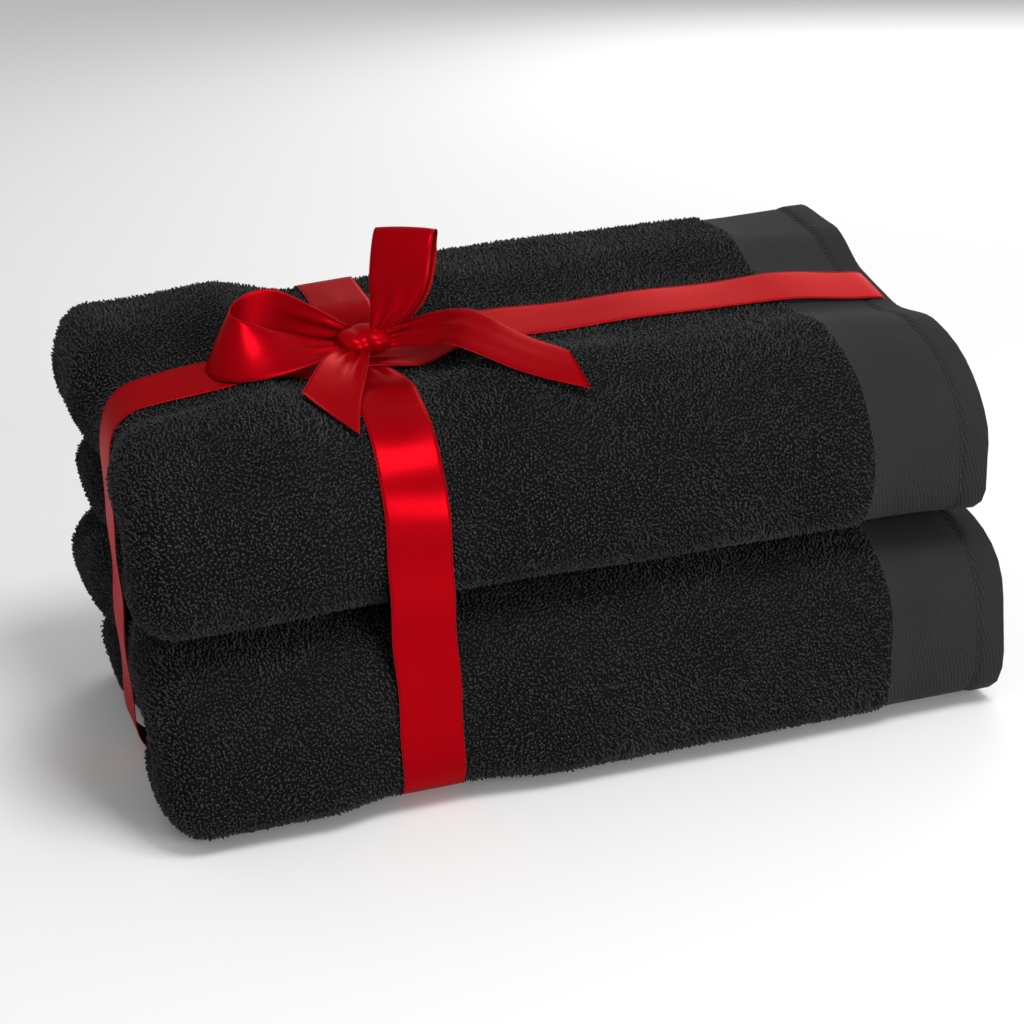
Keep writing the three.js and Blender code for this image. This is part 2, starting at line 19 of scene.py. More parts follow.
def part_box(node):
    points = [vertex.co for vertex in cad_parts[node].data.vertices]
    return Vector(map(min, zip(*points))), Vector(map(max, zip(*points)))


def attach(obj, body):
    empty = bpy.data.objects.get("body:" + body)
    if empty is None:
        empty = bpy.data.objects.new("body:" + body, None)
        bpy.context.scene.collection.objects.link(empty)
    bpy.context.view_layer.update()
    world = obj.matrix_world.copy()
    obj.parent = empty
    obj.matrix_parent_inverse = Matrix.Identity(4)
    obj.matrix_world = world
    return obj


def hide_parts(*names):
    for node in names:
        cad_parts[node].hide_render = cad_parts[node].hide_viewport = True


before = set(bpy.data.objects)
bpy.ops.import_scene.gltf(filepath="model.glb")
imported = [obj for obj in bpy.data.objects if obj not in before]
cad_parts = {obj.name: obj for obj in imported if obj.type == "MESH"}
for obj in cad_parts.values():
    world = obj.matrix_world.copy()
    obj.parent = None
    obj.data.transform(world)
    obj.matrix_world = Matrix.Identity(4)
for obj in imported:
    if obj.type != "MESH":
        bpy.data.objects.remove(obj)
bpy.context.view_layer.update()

log = logging.getLogger("towel_set")

MM = 0.001
Points = np.ndarray
STACK_BODY = "tied_stack"


# --- Small helpers --------------------------------------------------------------------------------------


def smooth(t: np.ndarray | float) -> np.ndarray:
    """A smooth step from 0 at 0 to 1 at 1."""
    t = np.clip(t, 0.0, 1.0)
    return t * t * (3.0 - 2.0 * t)


def lerp(a: np.ndarray | float, b: np.ndarray | float, t: np.ndarray | float) -> np.ndarray:
    """The value a share t of the way from a to b."""
    return a + (b - a) * t


def unit(vectors: Points) -> Points:
    """The vectors at length 1."""
    return vectors / np.maximum(np.linalg.norm(vectors, axis=-1, keepdims=True), 1e-9)


def resample(line: Points, step: float) -> Points:
    """The same open line with its points an even step apart.

    Args:
        line: points in order, in two or three dimensions.
        step: the wanted distance between points; it is rounded to a whole number of steps.
    Returns:
        The new points, the two ends among them.
    """
    lengths = np.concatenate([[0.0], np.cumsum(np.linalg.norm(np.diff(line, axis=0), axis=1))])
    count = max(2, int(round(lengths[-1] / step)) + 1)
    at = np.linspace(0.0, lengths[-1], count)
    return np.stack([np.interp(at, lengths, line[:, k]) for k in range(line.shape[1])], axis=1)


def relaxed(line: Points, rounds: int) -> Points:
    """The line with its corners eased: each round moves a point halfway to the middle of its neighbours."""
    line = line.copy()
    for _ in range(rounds):
        line[1:-1] = 0.5 * line[1:-1] + 0.25 * (line[:-2] + line[2:])
    return line


def catmull_rom(knots: Points, per_span: int) -> Points:
    """A smooth curve through rows of numbers.

    Args:
        knots: the rows that the curve goes through.
        per_span: how many points it has from each row to the next.
    Returns:
        The rows of the curve.
    """
    padded = np.concatenate([[2 * knots[0] - knots[1]], knots, [2 * knots[-1] - knots[-2]]])
    rows = []
    for i in range(len(knots) - 1):
        a, b, c, d = padded[i : i + 4]
        for t in np.arange(per_span) / per_span:
            rows.append(
                0.5 * (
                    2 * b + (c - a) * t + (2 * a - 5 * b + 4 * c - d) * t**2 + (3 * b - a - 3 * c + d) * t**3
                )
            )
    rows.append(knots[-1])
    return np.array(rows)


def waves(points: Points, length: float, seed: float) -> np.ndarray:
    """A smooth wavy value from -1 to 1 at each point, the same on every run.

    Args:
        points: where to read it.
        length: about how far apart its crests are.
        seed: a different value gives different waves.
    Returns:
        One value for each point.
    """
    total = np.zeros(len(points))
    directions = [(1.0, 0.3, 0.5), (-0.4, 1.0, 0.2), (0.6, -0.7, 0.9), (0.2, 0.5, -1.1)]
    for i, direction in enumerate(directions):
        turn = 2 * math.pi / length * (1.0 + 0.37 * i)
        total += np.sin(points @ np.array(direction) * turn + seed * (i + 1.7)) / len(directions)
    return total


def mesh_object(
    name: str, points: Points, faces: Sequence[Sequence[int]] | np.ndarray, smooth_shaded: bool = True
) -> bpy.types.Object:
    """Makes a mesh object from points in millimetres.

    Args:
        name: the piece's name.
        points: one row for each vertex.
        faces: the vertices of each face, in order round it.
        smooth_shaded: whether its faces are shaded smooth.
    Returns:
        The new object, linked into the scene.
    """
    mesh = bpy.data.meshes.new(name)
    mesh.from_pydata((points * MM).tolist(), [], [tuple(int(v) for v in face) for face in faces])
    mesh.update()
    if smooth_shaded:
        mesh.shade_smooth()
    obj = bpy.data.objects.new(name, mesh)
    bpy.context.scene.collection.objects.link(obj)
    return obj


def add_float(mesh: bpy.types.Mesh, name: str, values: np.ndarray) -> None:
    """Stores one number for each vertex under a name."""
    layer = mesh.attributes.new(name, "FLOAT", "POINT")
    layer.data.foreach_set("value", np.asarray(values, dtype=np.float32))


def add_uv(mesh: bpy.types.Mesh, name: str, per_vertex: Points) -> None:
    """Stores a UV map from one pair of numbers for each vertex."""
    layer = mesh.uv_layers.new(name=name)
    corners = np.empty(len(mesh.loops), dtype=np.int32)
    mesh.loops.foreach_get("vertex_index", corners)
    layer.data.foreach_set("uv", np.asarray(per_vertex, dtype=np.float32)[corners].ravel())


# --- The tied stack -------------------------------------------------------------------------------------


@dataclass(frozen=True)
class TowelPlace:
    """Where one folded towel lies in the straight stack."""

    name: str
    base: float
    height: float
    slit_height: float
    left: float
    right: float
    front: float
    square_over: float
    square_under: float
    is_top: bool
    setback: float


LOWER = TowelPlace(
    name="lower_towel",
    base=0.0,
    height=84.5,
    slit_height=38.0,
    left=-177.5,
    right=177.5,
    front=0.0,
    square_over=2.6,
    square_under=4.0,
    is_top=False,
    setback=9.0,
)
UPPER = TowelPlace(
    name="upper_towel",
    base=85.1,
    height=92.5,
    slit_height=35.0,
    left=-176.5,
    right=170.5,
    front=4.0,
    square_over=2.3,
    square_under=2.6,
    is_top=True,
    setback=5.0,
)


@dataclass(frozen=True)
class Stack:
    """The straight stack, and how the ribbon and its own weight settle it."""

    depth: float = 198.0
    arm_depth: float = 44.0
    front_fold: float = 46.0
    slit_half_gap: float = 1.0
    back_edge_round: float = 5.0
    back_y: float = 97.8
    height: float = 177.6
    ribbon_width: float = 25.0
    cross_x: float = -61.5
    cross_slant: float = 0.06
    long_y: float = 2.0
    groove_half: float = 15.0
    groove_shoulder: float = 34.0
    top_press: float = 9.0
    crossing_share: float = 0.95
    front_press: float = 4.5
    left_end_press: float = 7.0
    right_end_press: float = 3.0
    underside_lift: float = 2.7
    front_fall_left: float = 13.0
    front_fall_right: float = 24.0
    fall_start_y: float = 40.0
    left_fall: tuple[float, float, float] = (11.0, 115.0, 0.4)
    right_fall: tuple[float, float, float] = (4.0, 60.0, 0.0)
    end_fall_back_y: float = 80.0
    left_end: float = -177.5
    right_end: float = 177.5
    softness: float = 0.9

    def groove(self, distance: np.ndarray) -> np.ndarray:
        """1 within the flat of a groove, falling smoothly to 0 past its shoulder."""
        return 1.0 - smooth((np.abs(distance) - self.groove_half) / self.groove_shoulder)

    def settle(self, points: Points) -> Points:
        """Moves points of the straight stack to their places in the tied one.

        Args:
            points: rows of x, y, z.
        Returns:
            The moved rows.
        """
        x, y, z = points[:, 0], points[:, 1], points[:, 2]
        rise = z / self.height
        cross = self.groove(x - self.cross_x)
        long = self.groove(y - self.long_y)
        end_press = np.where(x < 0, self.left_end_press, self.right_end_press)
        end_reach = np.where(x < 0, -self.left_end, self.right_end)
        press = self.top_press * (np.maximum(cross, long) + self.crossing_share * np.minimum(cross, long))
        share = (x - self.left_end) / (self.right_end - self.left_end)
        half = self.depth / 2
        front = smooth((self.fall_start_y - y) / (self.fall_start_y + half))
        front_fall = lerp(self.front_fall_left, self.front_fall_right, share) * front
        ahead = smooth((self.end_fall_back_y - y) / self.end_fall_back_y)
        end_fall = np.zeros(len(points))
        for (drop, length, back_share), inward in (
            (self.left_fall, x - self.left_end),
            (self.right_fall, self.right_end - x),
        ):
            end_fall += drop * smooth(1 - inward / length) * lerp(back_share, 1.0, ahead)
        lift = self.underside_lift * np.maximum(cross, long) * np.clip(1 - rise, 0, None) ** 8
        moved = np.stack(
            [
                x - np.sign(x) * end_press * long * np.abs(
                    x / end_reach
                ) ** 4 + self.cross_slant * y * cross,
                y + self.front_press * cross * np.abs(np.minimum(y, 0) / half) ** 3,
                z - rise**3 * press - rise**2 * (front_fall + end_fall) + lift,
            ],
            axis=1,
        )
        return moved + self.softness * self._give(points)

    def _give(self, points: Points) -> Points:
        """How far soft cloth lies out of true: slow waves that leave the underside flat."""
        ease = smooth(points[:, 2] / 12.0)
        sideways = np.stack([waves(points, 95.0, 1.3), waves(points, 80.0, 4.1)], axis=1)
        up = waves(points, 70.0, 7.7) * smooth(points[:, 2] / self.height)
        return np.stack([sideways[:, 0] * ease, sideways[:, 1] * ease, up], axis=1)

    def ribbon_clear(self, points: Points) -> np.ndarray:
        """How far points of the straight stack lie outside the nearest ribbon; less than 0 is under it."""
        half = self.ribbon_width / 2
        across = np.abs(points[:, 0] - self.cross_x) - half
        along = np.abs(points[:, 1] - self.long_y) - half
        return np.minimum(across, along)


STACK = Stack()


class FoldPath:
    """The C that the layers of one towel follow, from the upper arm's back edge to the lower arm's."""

    OVERHANG = 14.0

    def __init__(self, place: TowelPlace) -> None:
        """Lays out the path.

        Args:
            place: the towel.
        """
        self.place = place
        fold_y = -STACK.depth / 2 + STACK.front_fold + place.front
        slit = place.base + place.slit_height
        top = place.base + place.height
        gap = STACK.slit_half_gap
        round_ = STACK.back_edge_round
        end_y = STACK.back_y - round_
        arm_y = np.concatenate([[end_y + self.OVERHANG], np.linspace(end_y, fold_y, 60)])
        drop = round_ * np.clip((arm_y - end_y + 2 * round_) / (2 * round_), 0, None) ** 2 * 0.5
        angle = np.linspace(0, math.pi, 61)[1:-1]
        over = angle < math.pi / 2
        reach = np.where(over, place.height - place.slit_height, place.slit_height)
        power = 2 / np.where(over, place.square_over, place.square_under)
        across = np.sin(angle) ** power
        up = np.sign(np.cos(angle)) * np.abs(np.cos(angle)) ** power
        self.outside = np.concatenate(
            [
                np.stack([arm_y, top - drop], axis=1),
                np.stack([fold_y - STACK.front_fold * across, slit + reach * up], axis=1),
                np.stack([arm_y, place.base + drop], axis=1)[::-1],
            ]
        )
        self.inside = np.concatenate(
            [
                np.stack([arm_y, np.full_like(arm_y, slit + gap)], axis=1),
                np.stack([fold_y - gap * np.sin(angle), slit + gap * np.cos(angle)], axis=1),
                np.stack([arm_y, np.full_like(arm_y, slit - gap)], axis=1)[::-1],
            ]
        )
        middle = 0.5 * (self.outside + self.inside)
        run = np.concatenate([[0.0], np.cumsum(np.linalg.norm(np.diff(middle, axis=0), axis=1))])
        self.run = run - self.OVERHANG
        self.length = self.run[-1] - self.OVERHANG

    def at(self, x: np.ndarray, depth: np.ndarray, run: np.ndarray) -> Points:
        """Points of the straight stack.

        Args:
            x: along the towel.
            depth: under its outside.
            run: along the C, from the back edge of the upper arm.
        Returns:
            Rows of x, y, z.
        """
        share = depth / STACK.arm_depth
        y = lerp(
            np.interp(run, self.run, self.outside[:, 0]), np.interp(run, self.run, self.inside[:, 0]), share
        )
        z = lerp(
            np.interp(run, self.run, self.outside[:, 1]), np.interp(run, self.run, self.inside[:, 1]), share
        )
        near_left = smooth(1 - (x - self.place.left) / 70.0)
        setback = self.place.setback * np.clip(run / self.length, 0, 1) * near_left
        return np.stack([x + setback, y, z], axis=1)


# --- Finishes -------------------------------------------------------------------------------------------


def new_material(name: str) -> tuple[bpy.types.Material, bpy.types.NodeTree, bpy.types.Node]:
    """A material with nothing in it but a Principled shader.

    Args:
        name: the material's name.
    Returns:
        The material, its node tree and the shader.
    """
    material = bpy.data.materials.new(name)
    material.use_nodes = True
    tree = material.node_tree
    tree.nodes.clear()
    shader = tree.nodes.new("ShaderNodeBsdfPrincipled")
    output = tree.nodes.new("ShaderNodeOutputMaterial")
    tree.links.new(shader.outputs["BSDF"], output.inputs["Surface"])
    return material, tree, shader


def mottle_group() -> bpy.types.NodeTree:
    """The shader group that every cloth shares: a slow and a fine unevenness in colour and surface."""
    name = "cloth_mottle"
    if name in bpy.data.node_groups:
        return bpy.data.node_groups[name]
    group = bpy.data.node_groups.new(name, "ShaderNodeTree")
    face = group.interface
    face.new_socket("Vector", in_out="INPUT", socket_type="NodeSocketVector")
    for label, value in (("Slow Scale", 20.0), ("Fine Scale", 500.0), ("Fine Share", 0.5)):
        face.new_socket(label, in_out="INPUT", socket_type="NodeSocketFloat").default_value = value
    face.new_socket("Dark", in_out="INPUT", socket_type="NodeSocketColor")
    face.new_socket("Light", in_out="INPUT", socket_type="NodeSocketColor")
    face.new_socket("Color", in_out="OUTPUT", socket_type="NodeSocketColor")
    face.new_socket("Height", in_out="OUTPUT", socket_type="NodeSocketFloat")
    nodes, links = group.nodes, group.links
    inward = nodes.new("NodeGroupInput")
    outward = nodes.new("NodeGroupOutput")
    slow = nodes.new("ShaderNodeTexNoise")
    fine = nodes.new("ShaderNodeTexNoise")
    for noise, scale in ((slow, "Slow Scale"), (fine, "Fine Scale")):
        noise.inputs["Detail"].default_value = 2.0
        links.new(inward.outputs["Vector"], noise.inputs["Vector"])
        links.new(inward.outputs[scale], noise.inputs["Scale"])
    share = nodes.new("ShaderNodeMix")
    links.new(inward.outputs["Fine Share"], share.inputs["Factor"])
    links.new(slow.outputs["Fac"], share.inputs["A"])
    links.new(fine.outputs["Fac"], share.inputs["B"])
    tint = nodes.new("ShaderNodeMix")
    tint.data_type = "RGBA"
    dark, light = (socket for socket in tint.inputs if socket.type == "RGBA")
    mixed = next(socket for socket in tint.outputs if socket.type == "RGBA")
    links.new(share.outputs["Result"], tint.inputs["Factor"])
    links.new(inward.outputs["Dark"], dark)
    links.new(inward.outputs["Light"], light)
    links.new(mixed, outward.inputs["Color"])
    links.new(fine.outputs["Fac"], outward.inputs["Height"])
    return group


@dataclass(frozen=True)
class Finish:
    """One cloth finish: its two tones, its gloss, and how uneven it is."""

    name: str
    dark: tuple[float, float, float]
    light: tuple[float, float, float]
    roughness: float
    sheen: float
    slow_scale: float
    fine_scale: float
    fine_share: float
    bump: float
    specular: float = 0.5
    anisotropic: float = 0.0
    metallic: float = 0.0
    gloss_tint: tuple[float, float, float] = (1.0, 1.0, 1.0)

    def build(self) -> bpy.types.Material:
        """Makes the material."""
        material, tree, shader = new_material(self.name)
        place = tree.nodes.new("ShaderNodeTexCoord")
        mottle = tree.nodes.new("ShaderNodeGroup")
        mottle.node_tree = mottle_group()
        tree.links.new(place.outputs["Object"], mottle.inputs["Vector"])
        mottle.inputs["Slow Scale"].default_value = self.slow_scale
        mottle.inputs["Fine Scale"].default_value = self.fine_scale
        mottle.inputs["Fine Share"].default_value = self.fine_share
        mottle.inputs["Dark"].default_value = (*self.dark, 1.0)
        mottle.inputs["Light"].default_value = (*self.light, 1.0)
        tree.links.new(mottle.outputs["Color"], shader.inputs["Base Color"])
        bump = tree.nodes.new("ShaderNodeBump")
        bump.inputs["Strength"].default_value = self.bump
        bump.inputs["Distance"].default_value = 0.5 * MM
        tree.links.new(self._height(tree, mottle), bump.inputs["Height"])
        tree.links.new(bump.outputs["Normal"], shader.inputs["Normal"])
        shader.inputs["Roughness"].default_value = self.roughness
        shader.inputs["Specular IOR Level"].default_value = self.specular
        shader.inputs["Anisotropic"].default_value = self.anisotropic
        shader.inputs["Metallic"].default_value = self.metallic
        shader.inputs["Specular Tint"].default_value = (*self.gloss_tint, 1.0)
        shader.inputs["Sheen Weight"].default_value = self.sheen
        shader.inputs["Sheen Roughness"].default_value = 0.45
        return material

    def _height(self, tree: bpy.types.NodeTree, mottle: bpy.types.Node) -> bpy.types.NodeSocket:
        """The socket that gives the bump's height."""
        return mottle.outputs["Height"]


@dataclass(frozen=True)
class TwillFinish(Finish):
    """Flat twill: fine diagonal ribs, laid out on the cloth's own map in millimetres."""

    pitch: float = 1.5
    lean: float = -22.0

    def _height(self, tree: bpy.types.NodeTree, mottle: bpy.types.Node) -> bpy.types.NodeSocket:
        """Diagonal ribs on the cloth's map, broken up a little."""
        cloth = tree.nodes.new("ShaderNodeUVMap")
        cloth.uv_map = "Cloth"
        lean = tree.nodes.new("ShaderNodeMapping")
        lean.inputs["Rotation"].default_value = (0.0, 0.0, math.radians(self.lean))
        tree.links.new(cloth.outputs["UV"], lean.inputs["Vector"])
        ribs = tree.nodes.new("ShaderNodeTexWave")
        ribs.bands_direction = "X"
        ribs.inputs["Scale"].default_value = math.pi / 10 / self.pitch
        ribs.inputs["Distortion"].default_value = 1.2
        ribs.inputs["Detail"].default_value = 2.0
        tree.links.new(lean.outputs["Vector"], ribs.inputs["Vector"])
        mixed = tree.nodes.new("ShaderNodeMix")
        mixed.inputs["Factor"].default_value = 0.25
        tree.links.new(ribs.outputs["Fac"], mixed.inputs["A"])
        tree.links.new(mottle.outputs["Height"], mixed.inputs["B"])
        return mixed.outputs["Result"]


BLACK_TERRY = Finish(
    name="plush_terry",
    dark=(0.006, 0.006, 0.006),
    light=(0.036, 0.036, 0.036),
    roughness=0.75,
    sheen=0.06,
    slow_scale=24.0,
    fine_scale=700.0,
    fine_share=0.6,
    bump=0.6,
    specular=0.3,
)
# The cloth under the loops: coloured darker than the loops' own yarn, as painted shade in the hollows
# between the loops.
TERRY_GROUND_PAINTED_SHADE = Finish(
    name="terry_ground",
    dark=(0.002, 0.002, 0.002),
    light=(0.006, 0.006, 0.006),
    roughness=1.0,
    sheen=0.0,
    slow_scale=30.0,
    fine_scale=900.0,
    fine_share=0.7,
    bump=1.0,
    specular=0.1,
)
TWILL = TwillFinish(
    name="twill_weave",
    dark=(0.011, 0.011, 0.011),
    light=(0.026, 0.026, 0.026),
    roughness=0.9,
    sheen=0.02,
    slow_scale=30.0,
    fine_scale=1500.0,
    fine_share=0.6,
    bump=0.6,
    specular=0.12,
)
THREAD = Finish(
    name="lockstitch_thread",
    dark=(0.008, 0.008, 0.008),
    light=(0.02, 0.02, 0.02),
    roughness=0.6,
    sheen=0.05,
    slow_scale=60.0,
    fine_scale=2500.0,
    fine_share=0.5,
    bump=0.3,
)
SATIN = Finish(
    name="satin_weave",
    dark=(0.27, 0.0008, 0.0035),
    light=(0.35, 0.001, 0.0045),
    roughness=0.34,
    sheen=0.0,
    slow_scale=18.0,
    fine_scale=1400.0,
    fine_share=0.4,
    bump=0.06,
    specular=0.04,
    anisotropic=0.4,
    metallic=0.5,
    gloss_tint=(0.9, 0.1, 0.13),
)
PICOT = Finish(
    name="ribbon_edge_thread",
    dark=(0.24, 0.001, 0.0035),
    light=(0.34, 0.0015, 0.005),
    roughness=0.5,
    sheen=0.0,
    slow_scale=40.0,
    fine_scale=2600.0,
    fine_share=0.5,
    bump=0.2,
    specular=0.1,
)


# --- The towels -----------------------------------------------------------------------------------------


class Leaf(Enum):
    """The four lengths of a folded towel, in the order of the sheet, by layers from the outside."""

    A = 1.0
    B = 7.0
    C = 5.0
    D = 3.0


@dataclass
class FoldedTowel:
    """One towel: a single sheet of terry with a twill border and a turned hem at each end."""

    place: TowelPlace
    layer: float = 5.5
    half_terry: float = 1.75
    half_border: float = 0.95
    half_hem: float = 1.6
    border_length: float = 51.0
    hem_length: float = 11.0
    inner_hem_setback: float = 4.0
    fold_setback: float = 3.0
    left_bulge: float = 17.0
    visible_step: float = 4.5
    hidden_step: float = 14.0
    flat_size: tuple[float, float] = (0.76, 1.37)
    pile_strips: int = 5

    def __post_init__(self) -> None:
        """Lays out the fold path and the section of the sheet."""
        self.path = FoldPath(self.place)
        self.section, self.along = self._section()

    # The section: the middle of the doubled cloth, as x and depth, in the order of the sheet.

    def _turn(
        self, centre: tuple[float, float], radii: tuple[float, float], start: float, end: float, count: int
    ) -> Points:
        """Points of a turn between two leaves.

        Args:
            centre: x and depth of the middle of the turn.
            radii: along x and along the depth.
            start: first angle in degrees, where 90 is deeper and 0 is towards +X.
            end: last angle in degrees.
            count: how many points, without the two ends.
        Returns:
            Rows of x and depth.
        """
        angle = np.radians(np.linspace(start, end, count + 2)[1:-1])
        return np.stack([centre[0] + radii[0] * np.cos(angle), centre[1] + radii[1] * np.sin(angle)], axis=1)

    def _section(self) -> tuple[Points, np.ndarray]:
        """The line of the section and the length of cloth up to each of its points."""
        tau, place = self.layer, self.place
        outer_x = place.left + self.left_bulge
        outer_radius = self.left_bulge - tau / 2 - self.half_terry
        inner_x = outer_x + 4.0
        fold_tip = place.right - self.inner_hem_setback - self.fold_setback
        fold_x = fold_tip - tau - tau / 2 - self.half_terry
        seam = self.hem_length
        seam_marks = [seam - 2.0, seam - 0.8, seam, seam + 0.8, seam + 2.0]
        marks = [0.0, 0.4, *seam_marks, self.border_length - 0.6, self.border_length + 0.6]

        def run(start: float, end: float, depth: float, step: float) -> Points:
            """A straight length of the section."""
            xs = np.linspace(start, end, max(2, int(abs(end - start) / step) + 1))
            return np.stack([xs, np.full_like(xs, depth)], axis=1)

        hem = np.array([[place.right - m, Leaf.A.value * tau] for m in marks])
        inner_right = place.right - self.inner_hem_setback
        inner_hem = np.array([[inner_right - m, Leaf.D.value * tau] for m in reversed(marks)])
        line = np.concatenate(
            [
                hem[:7],
                run(place.right - self.hem_length - 2.5, place.right - self.border_length + 0.6, tau, 10.0),
                run(place.right - self.border_length - 0.6, outer_x, tau, self.visible_step),
                self._turn((outer_x, 4 * tau), (outer_radius, 3 * tau), 270, 90, 13),
                run(outer_x, fold_x, Leaf.B.value * tau, self.hidden_step),
                self._turn((fold_x, 6 * tau), (tau, tau), 90, -90, 7),
                run(fold_x, inner_x, Leaf.C.value * tau, self.hidden_step),
                self._turn((inner_x, 4 * tau), (tau, tau), 90, 270, 7),
                run(inner_x, inner_right - self.border_length - 0.6, Leaf.D.value * tau, self.hidden_step),
                run(
                    inner_right - self.border_length + 0.6,
                    inner_right - self.hem_length - 2.5,
                    3 * tau,
                    10.0
                ),
                inner_hem[2:],
            ]
        )
        keep = np.concatenate([[True], np.linalg.norm(np.diff(line, axis=0), axis=1) > 0.05])
        line = line[keep]
        along = np.concatenate([[0.0], np.cumsum(np.linalg.norm(np.diff(line, axis=0), axis=1))])
        return line, along

    def half_thickness(self) -> np.ndarray:
        """Half the thickness of one cloth at each point of the section."""
        end = np.minimum(self.along, self.along[-1] - self.along)
        border = smooth((end - self.border_length + 0.5) / 1.0)
        hem = smooth((end - self.hem_length + 1.0) / 2.0)
        dimple = 0.55 * (1 - smooth(np.abs(end - self.hem_length) / 2.2))
        return lerp(lerp(self.half_hem, self.half_border, hem), self.half_terry, border) - dimple

    def _normals(self) -> Points:
        """Which way the first cloth lies from the middle of the section."""
        ahead = unit(np.gradient(self.section, axis=0))
        return np.stack([-ahead[:, 1], ahead[:, 0]], axis=1)

    def _contour(self) -> tuple[np.ndarray, np.ndarray, np.ndarray, np.ndarray]:
        """The doubled cloth across the sheet, as one closed line.

        Returns:
            For each point: which cloth it is on (1 or -1, and between them on the fold), which side of the
            cloth (1 outside, -1 inside), the run along the C, and how far it stands out past the fold.
        """
        length = self.path.length
        fine = np.linspace(0.0, length, int(length / self.visible_step))
        coarse = np.linspace(length, 0.0, int(length / 8.0))
        turn = np.radians(np.linspace(90, -90, 9))[1:-1]
        inner_turn = np.radians(np.linspace(-90, 90, 7))[1:-1]
        cloth, side, run, out = [], [], [], []

        def add(c: np.ndarray, s: float, r: np.ndarray, o: np.ndarray) -> None:
            """Adds points to the contour."""
            cloth.append(c)
            side.append(np.full_like(r, s))
            run.append(r)
            out.append(o)

        add(np.ones_like(fine), 1.0, fine[::-1], np.zeros_like(fine))
        add(np.sin(turn), 1.0, np.zeros_like(turn), np.cos(turn))
        add(-np.ones_like(coarse), 1.0, coarse[::-1], np.zeros_like(coarse))
        add(-np.ones_like(coarse), -1.0, coarse, np.zeros_like(coarse))
        add(np.sin(inner_turn), -1.0, np.zeros_like(inner_turn), np.cos(inner_turn))
        add(np.ones_like(coarse), -1.0, coarse[::-1], np.zeros_like(coarse))
        return np.concatenate(cloth), np.concatenate(side), np.concatenate(run), np.concatenate(out)

    def _stagger(self) -> np.ndarray:
        """How far the edges of each leaf lie inside the back of the stack: no hand folds them flush."""
        share = self.along / self.along[-1]
        return 2.5 + 2.5 * np.sin(2 * math.pi * (1.6 * share + 0.13 + 0.4 * self.place.is_top))

    def build(self) -> bpy.types.Object:
        """Makes the sheet, with the values that the pile reads stored on it.

        Returns:
            The sheet's object.
        """
        cloth, side, run, out = self._contour()
        normals = self._normals()
        thick = self.half_thickness()
        stagger = self._stagger()
        size = len(cloth)
        rings, straight_rings, uvs = [], [], []
        for i, (x, depth) in enumerate(self.section):
            reach = self.layer / 2 + side * thick[i]
            offset = reach * cloth
            inset = stagger[i] * (1 - 2 * run / self.path.length)
            straight = self.path.at(
                x + normals[i, 0] * offset,
                depth + normals[i, 1] * offset,
                run + inset - reach * out,
            )
            straight_rings.append(straight)
            rings.append(STACK.settle(straight))
            uvs.append(
                np.stack([np.full(size, self.along[i]), run + 400.0 * (cloth < 0) - reach * out], axis=1)
            )
        points = np.concatenate(rings)
        straight = np.concatenate(straight_rings)
        grid = np.arange(len(points)).reshape(len(rings), size)
        nxt = np.roll(grid, -1, axis=1)
        quads = np.stack([grid[:-1], grid[1:], nxt[1:], nxt[:-1]], axis=2).reshape(-1, 4)
        faces = quads.tolist() + self._end_caps(grid, cloth, side, run)
        obj = mesh_object(f"{self.place.name}_sheet", points, faces)
        self._store(obj.data, straight, np.concatenate(uvs), cloth, side, run, out, len(rings), size)
        self._dress(obj)
        self.sheet = obj
        return obj

    def _end_caps(
        self, grid: np.ndarray, cloth: np.ndarray, side: np.ndarray, run: np.ndarray
    ) -> list[list[int]]:
        """The two hem edges, filled between the outside and the inside of the doubled cloth."""
        outer = np.where(side > 0)[0]
        inner = np.where(side < 0)[0][::-1]

        def order(index: np.ndarray) -> np.ndarray:
            """How far round the contour its points lie: first cloth, fold, then second cloth."""
            past_fold = np.where(cloth[index] < -0.999, run[index] + 1, 0) + (1 - cloth[index])
            return np.where(cloth[index] > 0.999, -run[index] - 1, past_fold)

        faces = []
        for ring, flip in ((grid[0], False), (grid[-1], True)):
            a, b = 0, 0
            key_outer, key_inner = order(outer), order(inner)
            while a < len(outer) - 1 or b < len(inner) - 1:
                forward = b == len(inner) - 1 or (
                    a < len(outer) - 1 and key_outer[a + 1] <= key_inner[b + 1]
                )
                if forward:
                    face = [ring[outer[a]], ring[outer[a + 1]], ring[inner[b]]]
                    a += 1
                else:
                    face = [ring[outer[a]], ring[inner[b + 1]], ring[inner[b]]]
                    b += 1
                faces.append([int(v) for v in (face[::-1] if flip else face)])
        return faces

